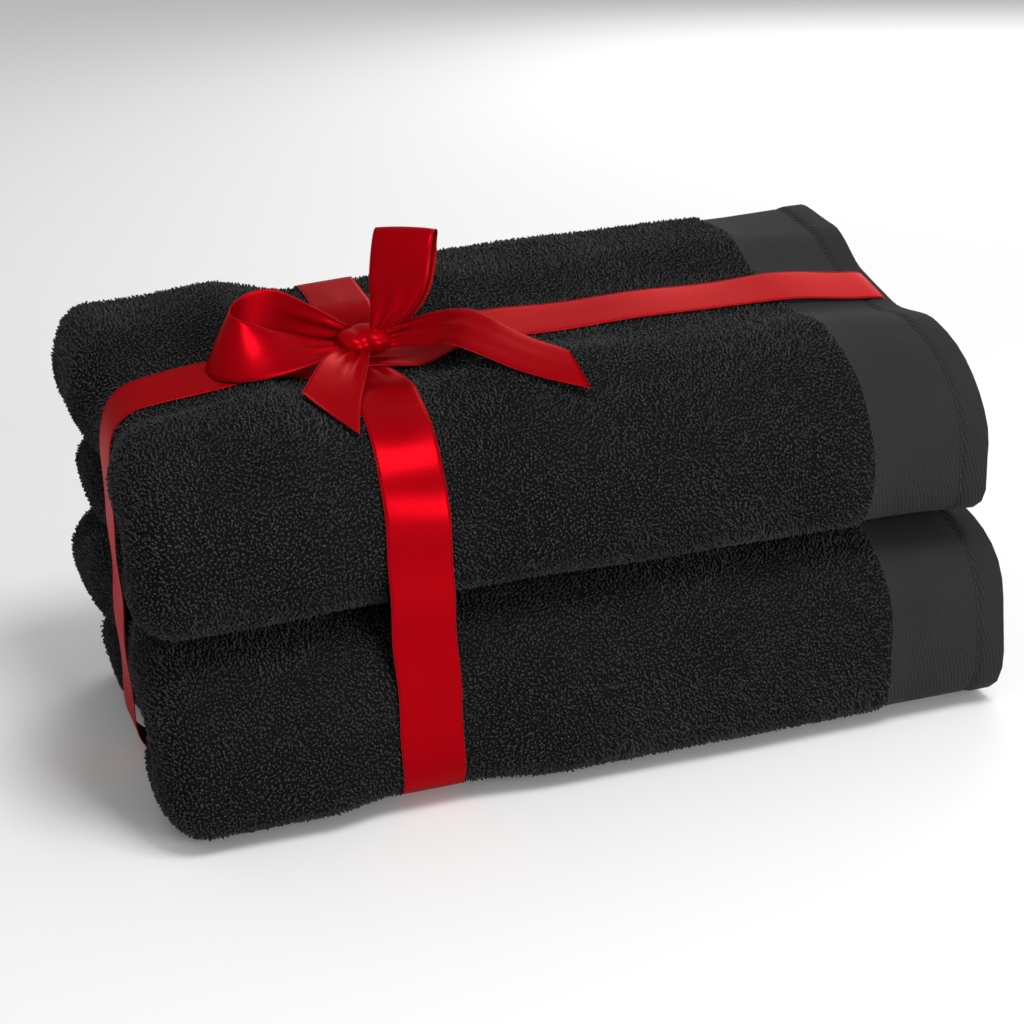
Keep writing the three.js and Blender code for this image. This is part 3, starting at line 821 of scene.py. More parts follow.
    def _store(self, mesh: bpy.types.Mesh, straight: Points, uv: Points, cloth: np.ndarray, side: np.ndarray,
               run: np.ndarray, out: np.ndarray, rings: int, size: int) -> None:
        """Stores the cloth's map, and where its pile shows, on the sheet's mesh."""
        add_uv(mesh, "Cloth", uv)
        end = np.minimum(self.along, self.along[-1] - self.along)
        is_terry = np.repeat(end > self.border_length + 0.2, size)
        outside = np.tile((side > 0) & (cloth > 0.99), rings)
        fold_edge = np.tile((side > 0) & (out > 0.05), rings)
        x, depth = np.repeat(self.section[:, 0], size), np.repeat(self.section[:, 1], size)
        first_leaf = np.repeat(self.along, size) < self._first_leaf_length()
        at_run = np.tile(run, rings)
        arm = STACK.depth - STACK.front_fold
        if self.place.is_top:
            uncovered = at_run < self.path.length - arm + 25
        else:
            uncovered = at_run > arm - 25
        near_edge = (x < self.place.left + 30) | (straight[:, 1] > STACK.back_y - 12)
        right_fold = (
            x > self.place.right - self.border_length
        ) & (depth > 5.2 * self.layer) & (depth < 6.8 * self.layer)
        shown = is_terry & (
            (outside & first_leaf & (uncovered | near_edge)) | fold_edge | (outside & right_fold)
        )
        shown &= straight[:, 2] > 1.0
        add_float(mesh, "shown", shown.astype(float))
        add_float(mesh, "ribbon_clear", STACK.ribbon_clear(straight))
        span = (self.place.right - self.place.left) / self.pile_strips
        add_float(
            mesh, "strip", np.floor((straight[:, 0] - self.place.left) / span).clip(0, self.pile_strips - 1)
        )

    def _first_leaf_length(self) -> float:
        """The length of cloth from the outer hem to the far side of the rounded left fold."""
        deep = np.where(self.section[:, 1] >= Leaf.B.value * self.layer - 0.01)[0][0]
        return float(self.along[deep])

    def _dress(self, obj: bpy.types.Object) -> None:
        """Gives the field its terry ground, coloured darker than the loops as painted shade between them,
        and the borders and hems their twill.
        """
        for finish in (TERRY_GROUND_PAINTED_SHADE, TWILL):
            obj.data.materials.append(bpy.data.materials[finish.name])
        faces = obj.data.polygons
        first = np.empty(len(faces), dtype=np.int32)
        faces.foreach_get("loop_start", first)
        uv = np.empty(len(obj.data.loops) * 2, dtype=np.float32)
        obj.data.uv_layers["Cloth"].data.foreach_get("uv", uv)
        along = uv[0::2]
        total = np.empty(len(faces), dtype=np.int32)
        faces.foreach_get("loop_total", total)
        middle = 0.5 * (along[first] + along[first + np.minimum(total - 1, 2)])
        end = np.minimum(middle, self.along[-1] - middle)
        faces.foreach_set("material_index", (end < self.border_length).astype(np.int32))

    def declare(self, pile: Sequence[bpy.types.Object], seams: Sequence[bpy.types.Object]) -> None:
        """Puts the sheet, its pile and its seams with the stack's body, and hides the CAD parts that they
        stand for.

        Args:
            pile: the pieces of pile on it.
            seams: the rows of stitches on it.
        """
        name = self.place.name
        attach(self.sheet, STACK_BODY)
        parts = ("cloth", "outer_border", "outer_hem", "inner_border", "inner_hem")
        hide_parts(*[f"{name}_{part}" for part in parts])
        for piece in pile:
            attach(piece, STACK_BODY)
        for piece in seams:
            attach(piece, STACK_BODY)
        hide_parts(f"{name}_outer_hem_stitching")


# --- Geometry Nodes: pile and stitches ------------------------------------------------------------------


class TreeBuilder:
    """A Geometry Nodes tree under construction."""

    def __init__(self, name: str, inputs: Sequence[tuple[str, str, float | int]]) -> None:
        """Starts the tree.

        Args:
            name: the tree's name.
            inputs: name, socket type and default value of each input after the geometry.
        """
        self.tree = bpy.data.node_groups.new(name, "GeometryNodeTree")
        face = self.tree.interface
        face.new_socket("Geometry", in_out="INPUT", socket_type="NodeSocketGeometry")
        face.new_socket("Geometry", in_out="OUTPUT", socket_type="NodeSocketGeometry")
        for label, kind, value in inputs:
            socket = face.new_socket(label, in_out="INPUT", socket_type=kind)
            if kind != "NodeSocketMaterial":
                socket.default_value = value
        self.inward = self.tree.nodes.new("NodeGroupInput")
        self.outward = self.tree.nodes.new("NodeGroupOutput")

    def node(self, kind: str, values: dict[str, object] | None = None, **settings: object) -> bpy.types.Node:
        """Adds a node.

        Args:
            kind: the node's type.
            values: its inputs by name; a socket is linked, and anything else becomes the input's value.
            settings: its other settings.
        Returns:
            The node.
        """
        node = self.tree.nodes.new(kind)
        for key, value in settings.items():
            setattr(node, key, value)
        for key, value in (values or {}).items():
            socket = node.inputs[key]
            if isinstance(value, bpy.types.NodeSocket):
                self.tree.links.new(value, socket)
            else:
                socket.default_value = value
        return node

    def attribute(self, name: str, kind: str = "FLOAT") -> bpy.types.NodeSocket:
        """The socket that reads a named attribute."""
        return self.node(
            "GeometryNodeInputNamedAttribute", {"Name": name}, data_type=kind
        ).outputs["Attribute"]

    def math(self, operation: str, a: object, b: object = 0.0) -> bpy.types.NodeSocket:
        """The result of one sum on two sockets or numbers."""
        node = self.tree.nodes.new("ShaderNodeMath")
        node.operation = operation
        for index, value in enumerate((a, b)):
            if isinstance(value, bpy.types.NodeSocket):
                self.tree.links.new(value, node.inputs[index])
            else:
                node.inputs[index].default_value = value
        return node.outputs[0]


def plain_mesh(
    source: bpy.types.Object, tree: bpy.types.NodeTree, name: str, **inputs: object
) -> bpy.types.Object:
    """Runs a tree on an object's mesh and keeps the result as a plain mesh.

    Args:
        source: the object that the tree reads.
        tree: the Geometry Nodes tree.
        name: the new piece's name.
        inputs: the tree's inputs by name, with _ for a space.
    Returns:
        The new piece, with no modifier.
    """
    carrier = bpy.data.objects.new(name + "_carrier", source.data)
    bpy.context.scene.collection.objects.link(carrier)
    modifier = carrier.modifiers.new("make", "NODES")
    modifier.node_group = tree
    for item in tree.interface.items_tree:
        key = item.name.replace(" ", "_")
        if item.in_out == "INPUT" and key in inputs:
            modifier[item.identifier] = inputs[key]
    graph = bpy.context.evaluated_depsgraph_get()
    mesh = bpy.data.meshes.new_from_object(
        carrier.evaluated_get(graph), preserve_all_data_layers=True, depsgraph=graph
    )
    mesh.name = name
    mesh.materials.clear()
    mesh.materials.append(inputs["Material"])
    mesh.polygons.foreach_set("material_index", np.zeros(len(mesh.polygons), dtype=np.int32))
    bpy.data.objects.remove(carrier)
    obj = bpy.data.objects.new(name, mesh)
    bpy.context.scene.collection.objects.link(obj)
    return obj


def pile_tree() -> bpy.types.NodeTree:
    """The tree that sets one curl of yarn on each spot of a sheet where the pile shows."""
    build = TreeBuilder(
        "terry_pile",
        [
            ("Strip", "NodeSocketFloat", 0.0),
            ("Spacing", "NodeSocketFloat", 1.3 * MM),
            ("Loop Height", "NodeSocketFloat", 1.9 * MM),
            ("Yarn Radius", "NodeSocketFloat", 0.4 * MM),
            ("Ribbon Overlap", "NodeSocketFloat", 0.8),
            ("Seed", "NodeSocketInt", 7),
            ("Material", "NodeSocketMaterial", 0),
        ],
    )
    given = build.inward.outputs
    shown = build.attribute("shown")
    in_strip = build.math(
        "LESS_THAN",
        build.math("ABSOLUTE", build.math("SUBTRACT", build.attribute("strip"), given["Strip"])),
        0.5
    )
    spots = build.node(
        "GeometryNodeDistributePointsOnFaces",
        {
            "Mesh": given["Geometry"],
            "Selection": build.math("MULTIPLY", in_strip, build.math("GREATER_THAN", shown, 0.5)),
            "Distance Min": given["Spacing"],
            "Density Max": 1500000.0,
            "Density Factor": 1.0,
            "Seed": given["Seed"],
        },
        distribute_method="POISSON",
    )
    over = build.math("MULTIPLY", given["Ribbon Overlap"], -1.0)
    covered = build.math("LESS_THAN", build.attribute("ribbon_clear"), over)
    cleared = build.node(
        "GeometryNodeDeleteGeometry",
        {"Geometry": spots.outputs["Points"], "Selection": covered},
        domain="POINT"
    )
    curl = build.node(
        "GeometryNodeCurvePrimitiveBezierSegment",
        {
            "Resolution": 4,
            "Start": (-0.45, 0.0, -0.45),
            "Start Handle": (-1.5, 0.5, 1.6),
            "End Handle": (1.4, -0.4, 1.7),
            "End": (0.5, 0.25, -0.35),
        },
    )
    profile = build.node(
        "GeometryNodeCurvePrimitiveCircle", {"Resolution": 3, "Radius": given["Yarn Radius"]}, mode="RADIUS"
    )
    sized = build.node("GeometryNodeTransform", {"Geometry": curl.outputs["Curve"]})
    height = build.node("ShaderNodeCombineXYZ", {axis: given["Loop Height"] for axis in "XYZ"})
    build.tree.links.new(height.outputs["Vector"], sized.inputs["Scale"])
    yarn = build.node(
        "GeometryNodeCurveToMesh",
        {"Curve": sized.outputs["Geometry"], "Profile Curve": profile.outputs["Curve"], "Fill Caps": True},
    )
    soft = build.node("GeometryNodeSetShadeSmooth", {"Geometry": yarn.outputs["Mesh"]})
    turn = build.node(
        "FunctionNodeRandomValue", {"Seed": 11}, data_type="FLOAT_VECTOR"
    )
    turn.inputs["Min"].default_value = (-0.35, 0.0, -0.8)
    turn.inputs["Max"].default_value = (0.45, 0.75, 0.8)
    drift_noise = build.node("ShaderNodeTexNoise", {"Scale": 22.0, "Detail": 1.0})
    build.tree.links.new(
        build.node("GeometryNodeInputPosition").outputs["Position"], drift_noise.inputs["Vector"]
    )
    drift = build.math("MULTIPLY", drift_noise.outputs["Fac"], 4 * math.pi)
    heading = build.node("ShaderNodeCombineXYZ", {"Z": drift})
    lie = build.node("ShaderNodeVectorMath", {}, operation="ADD")
    build.tree.links.new(turn.outputs["Value"], lie.inputs[0])
    build.tree.links.new(heading.outputs["Vector"], lie.inputs[1])
    spin = build.node("FunctionNodeEulerToRotation", {"Euler": lie.outputs["Vector"]})
    rotation = build.node(
        "FunctionNodeRotateRotation", {
            "Rotation": spots.outputs["Rotation"], "Rotate By": spin.outputs["Rotation"]
        }, rotation_space="LOCAL"
    )
    size = build.node("FunctionNodeRandomValue", {"Seed": 23}, data_type="FLOAT")
    size.inputs[2].default_value = 0.75
    size.inputs[3].default_value = 1.2
    placed = build.node(
        "GeometryNodeInstanceOnPoints",
        {
            "Points": cleared.outputs["Geometry"],
            "Instance": soft.outputs["Geometry"],
            "Rotation": rotation.outputs["Rotation"],
            "Scale": size.outputs[1],
        },
    )
    real = build.node("GeometryNodeRealizeInstances", {"Geometry": placed.outputs["Instances"]})
    dressed = build.node(
        "GeometryNodeSetMaterial", {"Geometry": real.outputs["Geometry"], "Material": given["Material"]}
    )
    build.tree.links.new(dressed.outputs["Geometry"], build.outward.inputs["Geometry"])
    return build.tree


def stitch_tree() -> bpy.types.NodeTree:
    """The tree that lays short stitches end to end along a line of edges."""
    build = TreeBuilder(
        "lockstitch",
        [
            ("Pitch", "NodeSocketFloat", 2.6 * MM),
            ("Stitch Length", "NodeSocketFloat", 2.0 * MM),
            ("Thread Radius", "NodeSocketFloat", 0.28 * MM),
            ("Material", "NodeSocketMaterial", 0),
        ],
    )
    given = build.inward.outputs
    line = build.node("GeometryNodeMeshToCurve", {"Mesh": given["Geometry"]})
    even = build.node(
        "GeometryNodeResampleCurve",
        {"Curve": line.outputs["Curve"], "Length": given["Pitch"]},
        mode="LENGTH"
    )
    bead = build.node("GeometryNodeMeshUVSphere", {"Segments": 4, "Rings": 3, "Radius": 1.0})
    half = build.math("MULTIPLY", given["Stitch Length"], 0.5)
    scale = build.node(
        "ShaderNodeCombineXYZ", {"X": given["Thread Radius"], "Y": given["Thread Radius"], "Z": half}
    )
    tangent = build.node("GeometryNodeInputTangent")
    aim = build.node("FunctionNodeAlignRotationToVector", {"Vector": tangent.outputs["Tangent"]}, axis="Z")
    soft = build.node("GeometryNodeSetShadeSmooth", {"Geometry": bead.outputs["Mesh"]})
    placed = build.node(
        "GeometryNodeInstanceOnPoints",
        {
            "Points": even.outputs["Curve"],
            "Instance": soft.outputs["Geometry"],
            "Rotation": aim.outputs["Rotation"],
            "Scale": scale.outputs["Vector"],
        },
    )
    real = build.node("GeometryNodeRealizeInstances", {"Geometry": placed.outputs["Instances"]})
    dressed = build.node(
        "GeometryNodeSetMaterial", {"Geometry": real.outputs["Geometry"], "Material": given["Material"]}
    )
    build.tree.links.new(dressed.outputs["Geometry"], build.outward.inputs["Geometry"])
    return build.tree


def edge_line(name: str, lines: Sequence[Points]) -> bpy.types.Object:
    """An object of bare edges along lines of points, for a tree to read."""
    mesh = bpy.data.meshes.new(name)
    points, edges = [], []
    for line in lines:
        start = len(points)
        points += (line * MM).tolist()
        edges += [(start + i, start + i + 1) for i in range(len(line) - 1)]
    mesh.from_pydata(points, edges, [])
    obj = bpy.data.objects.new(name, mesh)
    bpy.context.scene.collection.objects.link(obj)
    return obj


@dataclass
class Seams:
    """The lockstitch that holds a towel's hems down."""

    towel: FoldedTowel
    proud: float = 0.1

    def build(self, tree: bpy.types.NodeTree) -> list[bpy.types.Object]:
        """Makes the seam that shows, round the outside of the outer hem.

        Args:
            tree: the tree of stitches.
        Returns:
            The seam's piece.
        """
        towel = self.towel
        run = np.linspace(1.0, towel.path.length - 1.0, 160)
        index = int(np.argmin(np.abs(towel.along - towel.hem_length)))
        depth = towel.layer - towel.layer / 2 - towel.half_thickness()[index] - self.proud
        x = np.full_like(run, towel.place.right - towel.hem_length - 0.6)
        line = STACK.settle(towel.path.at(x, np.full_like(run, depth), run))
        source = edge_line("seam_line", [line])
        name = f"{towel.place.name}_hem_seam"
        piece = plain_mesh(source, tree, name, Material=bpy.data.materials[THREAD.name])
        bpy.data.objects.remove(source)
        return [piece]


# --- The ribbon -----------------------------------------------------------------------------------------


@dataclass
class Band:
    """A length of ribbon: its middle line, the direction across it at each point, and its section."""

    name: str
    body: str
    replaces: str
    middle: Points
    half: Points
    thickness: float = 0.45
    across: int = 20
    crown: float = 0.0
    pleats: float = 2.5

    def build(self) -> bpy.types.Object:
        """Makes the band as one closed mesh."""
        along = unit(np.gradient(self.middle, axis=0))
        up = unit(np.cross(along, self.half))
        place = np.linspace(-1, 1, self.across)
        run = np.concatenate([[0.0], np.cumsum(np.linalg.norm(np.diff(self.middle, axis=0), axis=1))])
        rim = 1 - np.abs(place) ** 6
        rings, uvs = [], []
        for i, centre in enumerate(self.middle):
            width = np.linalg.norm(self.half[i])
            line = centre + place[:, None] * self.half[i]
            gathered = 1 - width * 2 / STACK.ribbon_width
            lift = self.crown * (1 - place**2) + self._pleat(place, gathered)
            over = line + up[i] * (lift + self.thickness / 2 * lerp(0.5, 1.0, rim))[:, None]
            under = line + up[i] * (lift - self.thickness / 2 * lerp(0.5, 1.0, rim))[:, None]
            rings.append(np.concatenate([over, under[::-1]]))
            mark = np.stack([place * width, np.full_like(place, run[i])], axis=1)
            uvs.append(np.concatenate([mark, mark[::-1] + [60.0, 0.0]]))
        size = 2 * self.across
        points = np.concatenate(rings)
        grid = np.arange(len(points)).reshape(len(rings), size)
        nxt = np.roll(grid, -1, axis=1)
        quads = np.stack([grid[:-1], nxt[:-1], nxt[1:], grid[1:]], axis=2).reshape(-1, 4).tolist()
        for ring, flip in ((grid[0], True), (grid[-1], False)):
            for k in range(self.across - 1):
                face = [ring[k], ring[k + 1], ring[size - 2 - k], ring[size - 1 - k]]
                quads.append([int(v) for v in (face if flip else face[::-1])])
        obj = mesh_object(self.name, points, quads)
        add_uv(obj.data, "Cloth", np.concatenate(uvs))
        obj.data.materials.append(bpy.data.materials[SATIN.name])
        self.length = float(run[-1])
        self.obj = obj
        return obj

    def _pleat(self, place: np.ndarray, gathered: float) -> np.ndarray:
        """How far the pleats stand up across the band where it is gathered."""
        return 1.3 * max(gathered, 0.0) * np.sin(math.pi * self.pleats * (place + 1)) * (1 - place**4)

    def edges(self) -> list[Points]:
        """The two edges of the band, for its picot."""
        return [self.middle + self.half, self.middle - self.half]

    def finish(self, picot: bpy.types.NodeTree) -> None:
        """Adds the stitched edge, puts the band and its edge with the band's body, and hides the CAD part
        that the band stands for.

        Args:
            picot: the tree of stitches.
        """
        source = edge_line("edge_line", self.edges())
        edging = plain_mesh(
            source,
            picot,
            self.name + "_edging",
            Pitch=0.9 * MM,
            Stitch_Length=0.95 * MM,
            Thread_Radius=0.3 * MM,
            Material=bpy.data.materials[PICOT.name],
        )
        bpy.data.objects.remove(source)
        for piece in (self.obj, edging):
            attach(piece, self.body)
        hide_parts(self.replaces)


@dataclass
class Ribbon:
    """The ribbon: two runs round the stack, the knot, two loops and two tails."""

    pinch: float = 13.0
    pinch_length: float = 24.0
    sink: float = 0.2
    knot_size: tuple[float, float, float] = (24.0, 20.0, 12.0)
    step: float = 3.0
    crossing_half: float = 14.0
    crossing_lift: float = 1.1
    top_above: float = 90.0

    def __post_init__(self) -> None:
        """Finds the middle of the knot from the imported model."""
        low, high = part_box("ribbon_knot")
        self.knot = (np.array(low) + np.array(high)) / 2 / MM
        self.bands: list[Band] = []

    def _outline_across(self) -> Points:
        """The line of the cross run in y and z, from the top's middle round the front to the underside's."""
        upper, lower = FoldPath(UPPER), FoldPath(LOWER)
        top = upper.outside[
            (upper.outside[:, 1] >= UPPER.base + UPPER.slit_height - 1)
            & (upper.outside[:, 0] < STACK.long_y)
        ]
        bottom = lower.outside[
            (lower.outside[:, 1] <= LOWER.slit_height + 1) & (lower.outside[:, 0] < STACK.long_y)
        ]
        return np.concatenate([top, bottom])

    def _outline_behind(self) -> Points:
        """The line of the cross run in y and z, from the top's middle round the back to the underside's."""
        back = STACK.back_y + 0.4
        corner = 9.0
        turn = np.radians(np.linspace(90, 0, 8))
        over = np.stack(
            [
                back - corner + corner * np.cos(turn),
                UPPER.base + UPPER.height - corner + corner * np.sin(turn)
            ],
            axis=1
        )
        under = np.stack(
            [back - corner + corner * np.cos(turn), corner - corner * np.sin(turn)], axis=1
        )[::-1]
        start = np.array([[STACK.long_y, UPPER.base + UPPER.height]])
        end = np.array([[STACK.long_y, 0.0]])
        return np.concatenate([start, over, under, end])

    def _outline_along(self) -> Points:
        """The line of the long run in x and z: once round, from the underside up the left end."""
        bulge = 17.0
        turn = np.radians(np.linspace(90, 0, 10))
        top = UPPER.base + UPPER.height
        upper_arm = UPPER.height - UPPER.slit_height
        lower_arm = LOWER.slit_height
        over = np.stack(
            [UPPER.left + bulge - bulge * np.sin(turn), top - upper_arm / 2 * (1 - np.cos(turn))], axis=1
        )
        under = np.stack(
            [LOWER.left + bulge - bulge * np.sin(turn), lower_arm / 2 * (1 - np.cos(turn))], axis=1
        )[::-1]
        right = np.array(
            [
                [UPPER.right - 1, top],
                [UPPER.right + 0.5, top - 3],
                [LOWER.right, LOWER.height],
                [LOWER.right, 3.0],
                [LOWER.right - 3, 0.0]
            ]
        )
        start = np.array([[STACK.cross_x, 0.0]])
        return np.concatenate([start, under, over, right, start])

    def _half_width(self, distance: np.ndarray, raised: np.ndarray) -> np.ndarray:
        """Half the width of a run so far from the knot; only its top is gathered."""
        gathered = lerp(self.pinch, STACK.ribbon_width, smooth(distance / self.pinch_length)) / 2
        return np.where(raised, gathered, STACK.ribbon_width / 2)

    def _run_band(self, name: str, line: Points, axis: int, lift: Callable[[Points], np.ndarray]) -> Band:
        """One run of ribbon round the stack.

        Args:
            name: the band's name, which is its CAD node's name with _band.
            line: its line in the straight stack, across or along.
            axis: 1 where the line is in y and z, 0 where it is in x and z.
            lift: how far it is held off the stack at each point.
        Returns:
            The band.
        """
        line = relaxed(resample(line, self.step), 4)
        ahead = unit(np.gradient(line, axis=0))
        outward = np.stack([ahead[:, 1], -ahead[:, 0]], axis=1)
        centre = line.mean(axis=0)
        outward *= np.sign(np.sum(outward * (line - centre), axis=1).mean())
        line = line + outward * lift(line)[:, None]
        hub = STACK.long_y if axis == 1 else STACK.cross_x
        half = self._half_width(np.abs(line[:, 0] - hub), line[:, 1] > STACK.height / 2)
        sides = []
        for sign in (-1, 0, 1):
            points = np.empty((len(line), 3))
            points[:, axis] = line[:, 0]
            points[:, 1 - axis] = (STACK.cross_x if axis == 1 else STACK.long_y) + sign * half
            points[:, 2] = line[:, 1]
            sides.append(STACK.settle(points))
        across = (sides[2] - sides[0]) / 2
        across = unit(across) * half[:, None]
        return Band(name + "_band", STACK_BODY, name, sides[1], across)

    def build_runs(self) -> None:
        """Makes the runs round the stack."""

        def flat(line: Points) -> np.ndarray:
            """How far a run that crosses nothing stands out, at each of its points."""
            return np.full(len(line), self.sink)

        def crossing(line: Points) -> np.ndarray:
            """How far the long run stands out: more on top, where it passes over the other run."""
            from_crossing = np.abs(line[:, 0] - STACK.cross_x) - self.crossing_half
            near = 1 - smooth(from_crossing / self.crossing_half)
            return self.sink + self.crossing_lift * near * (line[:, 1] > self.top_above)

        front = self._outline_across()
        back = self._outline_behind()
        self.bands.append(self._run_band("ribbon_front_strand", front, 1, flat))
        self.bands.append(self._run_band("ribbon_back_strand", back, 1, flat))
        self.bands.append(self._run_band("ribbon_long_strand", self._outline_along(), 0, crossing))

    def _free_band(self, name: str, body: str, frames: Sequence[Sequence[float]]) -> Band:
        """A loop or a tail from its frames.

        Args:
            name: the band's name.
            body: the body that it moves with.
            frames: for each, the middle from the knot's middle, the direction across, and the width.
        Returns:
            The band.
        """
        rows = np.array(frames, dtype=float)
        curve = catmull_rom(rows, 10)
        half = unit(curve[:, 3:6]) * curve[:, 6:7] / 2
        return Band(name + "_band", body, name, curve[:, :3] + self.knot, half, crown=0.5)

    def build_bow(self) -> None:
        """Makes the two loops and the two tails."""
        left = [
            (-6, 3, 3, 0.1, 0.5, 0.85, 7),
            (-17, 10, 5, 0, 0.3, 0.95, 17),
            (-31, 18, 8, 0.1, 0.2, 0.97, 24),
            (-44, 19, 8, 0.25, 0.12, 0.96, 25),
            (-54, 15, 6, 0.42, 0.1, 0.9, 25),
            (-58, 6, 5, 0.5, 0.1, 0.85, 25),
            (-54, -3, 4, 0.45, 0.4, 0.8, 25),
            (-43, -7, 2, 0.35, 0.72, 0.6, 25),
            (-29, -6, 0.5, 0.2, 0.9, 0.38, 22),
            (-17, -4, -0.5, 0.1, 0.96, 0.25, 15),
            (-7, -2, -1.5, 0, 0.98, 0.15, 9),
        ]
        upright = [
            (6, -4, 4, -0.88, 0.47, 0, 8),
            (12, -5, 14, -0.89, 0.45, 0, 18),
            (15, -5, 25, -0.85, 0.52, 0, 24),
            (18, -1, 36, -0.83, 0.55, 0, 25),
            (21, 4, 42, -0.83, 0.56, 0, 25),
            (24, 9, 41, -0.82, 0.57, 0, 25),
            (25, 14, 36, -0.82, 0.57, 0, 25),
            (24, 13, 27, -0.83, 0.55, 0, 24),
            (21, 8, 16, -0.85, 0.53, 0, 20),
            (15, 3, 8, -0.88, 0.45, 0, 15),
            (7, 0, 2, -0.9, 0.38, 0, 9),
        ]
        right_tail = [
            (6, -3, 0, 0.21, 0.53, 0.82, 8),
            (17, -4, 2, 0.54, 0.4, 0.74, 13),
            (29, -12, 4.5, 0.5, 0.67, 0.55, 19),
            (36, -22, 6.5, 0.71, 0.61, 0.34, 23),
            (44, -36, 4, 0.74, 0.65, 0.18, 24),
            (54, -51, 0.5, 0.56, 0.8, 0.22, 24),
            (70, -65, -3.5, 0, 0.95, 0.32, 25),
        ]
        front_tail = [
            (-2, -5, -2, -0.8, 0.6, 0.1, 7),
            (-8, -15, -1.5, -0.68, 0.67, 0.3, 14),
            (-16, -32, -1.5, -0.5, 0.8, 0.32, 22),
            (-23, -47, -4, -0.5, 0.8, 0.33, 26),
            (-29, -61, -8, -0.5, 0.8, 0.36, 31),
        ]
        self.bands.append(self._free_band("ribbon_left_loop", "left_loop", left))
        self.bands.append(self._free_band("ribbon_upright_loop", "upright_loop", upright))
        self.bands.append(self._free_band("ribbon_right_tail", "right_tail", right_tail))
        self.bands.append(self._free_band("ribbon_front_tail", "front_tail", front_tail))

    def build_knot(self) -> bpy.types.Object:
        """Makes the knot: one wrap of gathered ribbon pulled tight over the crossing."""
        around, rings = 64, 40
        theta = np.linspace(0, 2 * math.pi, around, endpoint=False)
        phi = np.linspace(0, math.pi, rings)[1:-1]
        grid_theta, grid_phi = np.meshgrid(theta, phi)
        folds = 0.09 * np.sin(5 * grid_phi + grid_theta) + 0.03 * np.sin(11 * grid_phi + 2 * grid_theta)
        size = np.array(self.knot_size) / 2
        radial = 1 + folds * np.sin(grid_phi) ** 0.5
        points = np.stack(
            [
                size[0] * np.cos(grid_phi) * (1 + 0.3 * folds),
                size[1] * radial * np.sin(grid_phi) ** 0.8 * np.cos(grid_theta),
                size[2] * radial * np.sin(grid_phi) ** 0.8 * np.sin(grid_theta),
            ],
            axis=2,
        ).reshape(-1, 3)
        points = np.concatenate([points, [[size[0], 0, 0], [-size[0], 0, 0]]]) + self.knot
        faces = []
        rows = rings - 2
        for r in range(rows - 1):
            for k in range(around):
                a, b = r * around + k, r * around + (k + 1) % around
                faces.append([a, b, b + around, a + around])
        for k in range(around):
            faces.append([rows * around, (k + 1) % around, k])
            last = (rows - 1) * around
            faces.append([rows * around + 1, last + k, last + (k + 1) % around])
        obj = mesh_object("ribbon_knot_wrap", points, faces)
        obj.data.materials.append(bpy.data.materials[SATIN.name])
        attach(obj, STACK_BODY)
        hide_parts("ribbon_knot")
        return obj

    def build(self, stitches: bpy.types.NodeTree) -> None:
        """Makes the whole ribbon.

        Args:
            stitches: the tree of stitches, for the picot edge.
        """
        self.build_runs()
        self.build_bow()
        self.build_knot()
        for band in self.bands:
            band.build()
            band.finish(stitches)
            log.info("%s: %.0f mm of ribbon", band.name, band.length)


# --- The studio -----------------------------------------------------------------------------------------


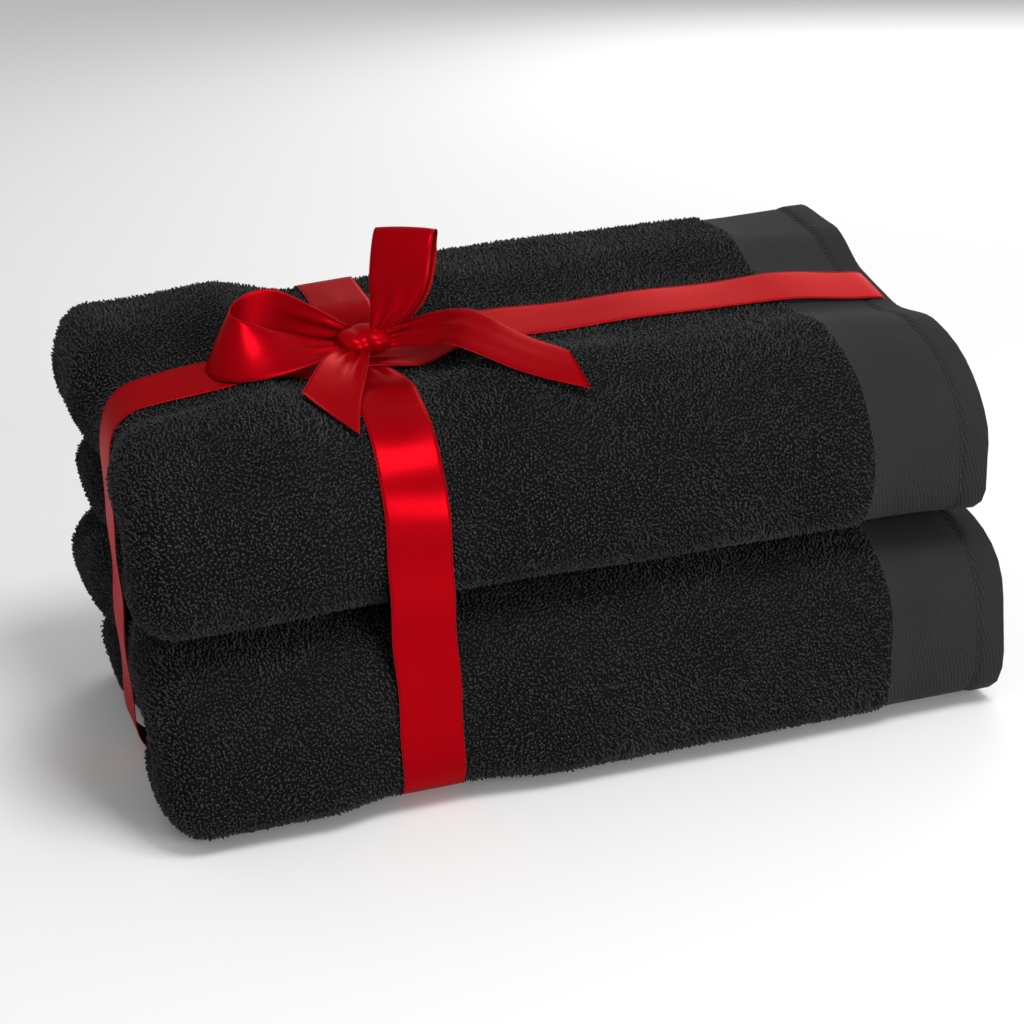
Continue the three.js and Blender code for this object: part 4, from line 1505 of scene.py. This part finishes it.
@dataclass(frozen=True)
class Studio:
    """A pale floor, soft light and the camera."""

    camera_at: tuple[float, float, float] = (-267.6, -869.0, 434.9)
    right: tuple[float, float, float] = (0.951, -0.306, -0.047)
    up: tuple[float, float, float] = (0.151, 0.325, 0.934)
    lens: float = 80.94
    shift: tuple[float, float] = (0.00635, -0.01553)

    def build(self) -> None:
        """Makes all of it."""
        self._camera()
        self._floor()
        self._light("back_right", (900.0, 1300.0, 700.0), 900.0, 7.0)
        self._light("above_front", (250.0, -600.0, 1500.0), 500.0, 14.0)
        self._light("front", (700.0, -1700.0, 600.0), 700.0, 20.0)
        world = bpy.data.worlds.new("studio")
        world.use_nodes = True
        world.node_tree.nodes["Background"].inputs["Color"].default_value = (1, 1, 1, 1)
        world.node_tree.nodes["Background"].inputs["Strength"].default_value = 0.5
        bpy.context.scene.world = world
        bpy.context.scene.view_settings.view_transform = "Standard"

    def _camera(self) -> None:
        """The camera, at the angle of a product shot from above the front left corner."""
        data = bpy.data.cameras.new("camera")
        data.lens = self.lens
        data.shift_x, data.shift_y = self.shift
        data.clip_start, data.clip_end = 0.05, 20.0
        camera = bpy.data.objects.new("camera", data)
        right = Vector(self.right).normalized()
        up = Vector(self.up)
        back = right.cross(up).normalized()
        up = back.cross(right).normalized()
        matrix = Matrix((right, up, back)).transposed().to_4x4()
        matrix.translation = Vector(self.camera_at) * MM
        camera.matrix_world = matrix
        bpy.context.scene.collection.objects.link(camera)
        bpy.context.scene.camera = camera

    def _floor(self) -> None:
        """A wide pale floor."""
        reach = 6000.0
        corners = np.array([[-reach, -reach, 0], [reach, -reach, 0], [reach, reach, 0], [-reach, reach, 0]])
        floor = mesh_object("floor", corners - [0, 0, 0.05], [[0, 1, 2, 3]], False)
        material, _, shader = new_material("pale_floor")
        shader.inputs["Base Color"].default_value = (0.85, 0.85, 0.85, 1)
        shader.inputs["Roughness"].default_value = 0.9
        floor.data.materials.append(material)

    def _light(self, name: str, at: tuple[float, float, float], size: float, power: float) -> None:
        """A square soft light aimed at the stack.

        Args:
            name: the light's name.
            at: its place, in millimetres.
            size: its side, in millimetres.
            power: in watts.
        """
        data = bpy.data.lights.new(name, "AREA")
        data.size = size * MM
        data.energy = power
        light = bpy.data.objects.new(name, data)
        light.location = Vector(at) * MM
        aim = Vector((0, 0, 90)) * MM - light.location
        light.rotation_mode = "QUATERNION"
        light.rotation_quaternion = aim.to_track_quat("-Z", "Y")
        bpy.context.scene.collection.objects.link(light)


def main() -> None:
    """Builds the towel set piece by piece."""
    logging.basicConfig(level=logging.INFO, format="%(message)s")
    for finish in (BLACK_TERRY, TERRY_GROUND_PAINTED_SHADE, TWILL, THREAD, SATIN, PICOT):
        finish.build()
    Studio().build()
    pile, stitches = pile_tree(), stitch_tree()
    for place, strips in ((LOWER, 6), (UPPER, 9)):
        towel = FoldedTowel(place, pile_strips=strips)
        towel.build()
        loops = []
        for strip in range(strips):
            piece = plain_mesh(
                towel.sheet, pile, f"{place.name}_pile_{strip + 1}", Strip=float(strip),
                Material=bpy.data.materials[BLACK_TERRY.name], Seed=3 + strip,
            )
            log.info("%s: %d triangles", piece.name, sum(len(p.vertices) - 2 for p in piece.data.polygons))
            loops.append(piece)
        seams = Seams(towel).build(stitches)
        towel.declare(loops, seams)
        log.info("%s: %d faces", towel.sheet.name, len(towel.sheet.data.polygons))
    Ribbon().build(stitches)


if __name__ == "__main__":
    main()
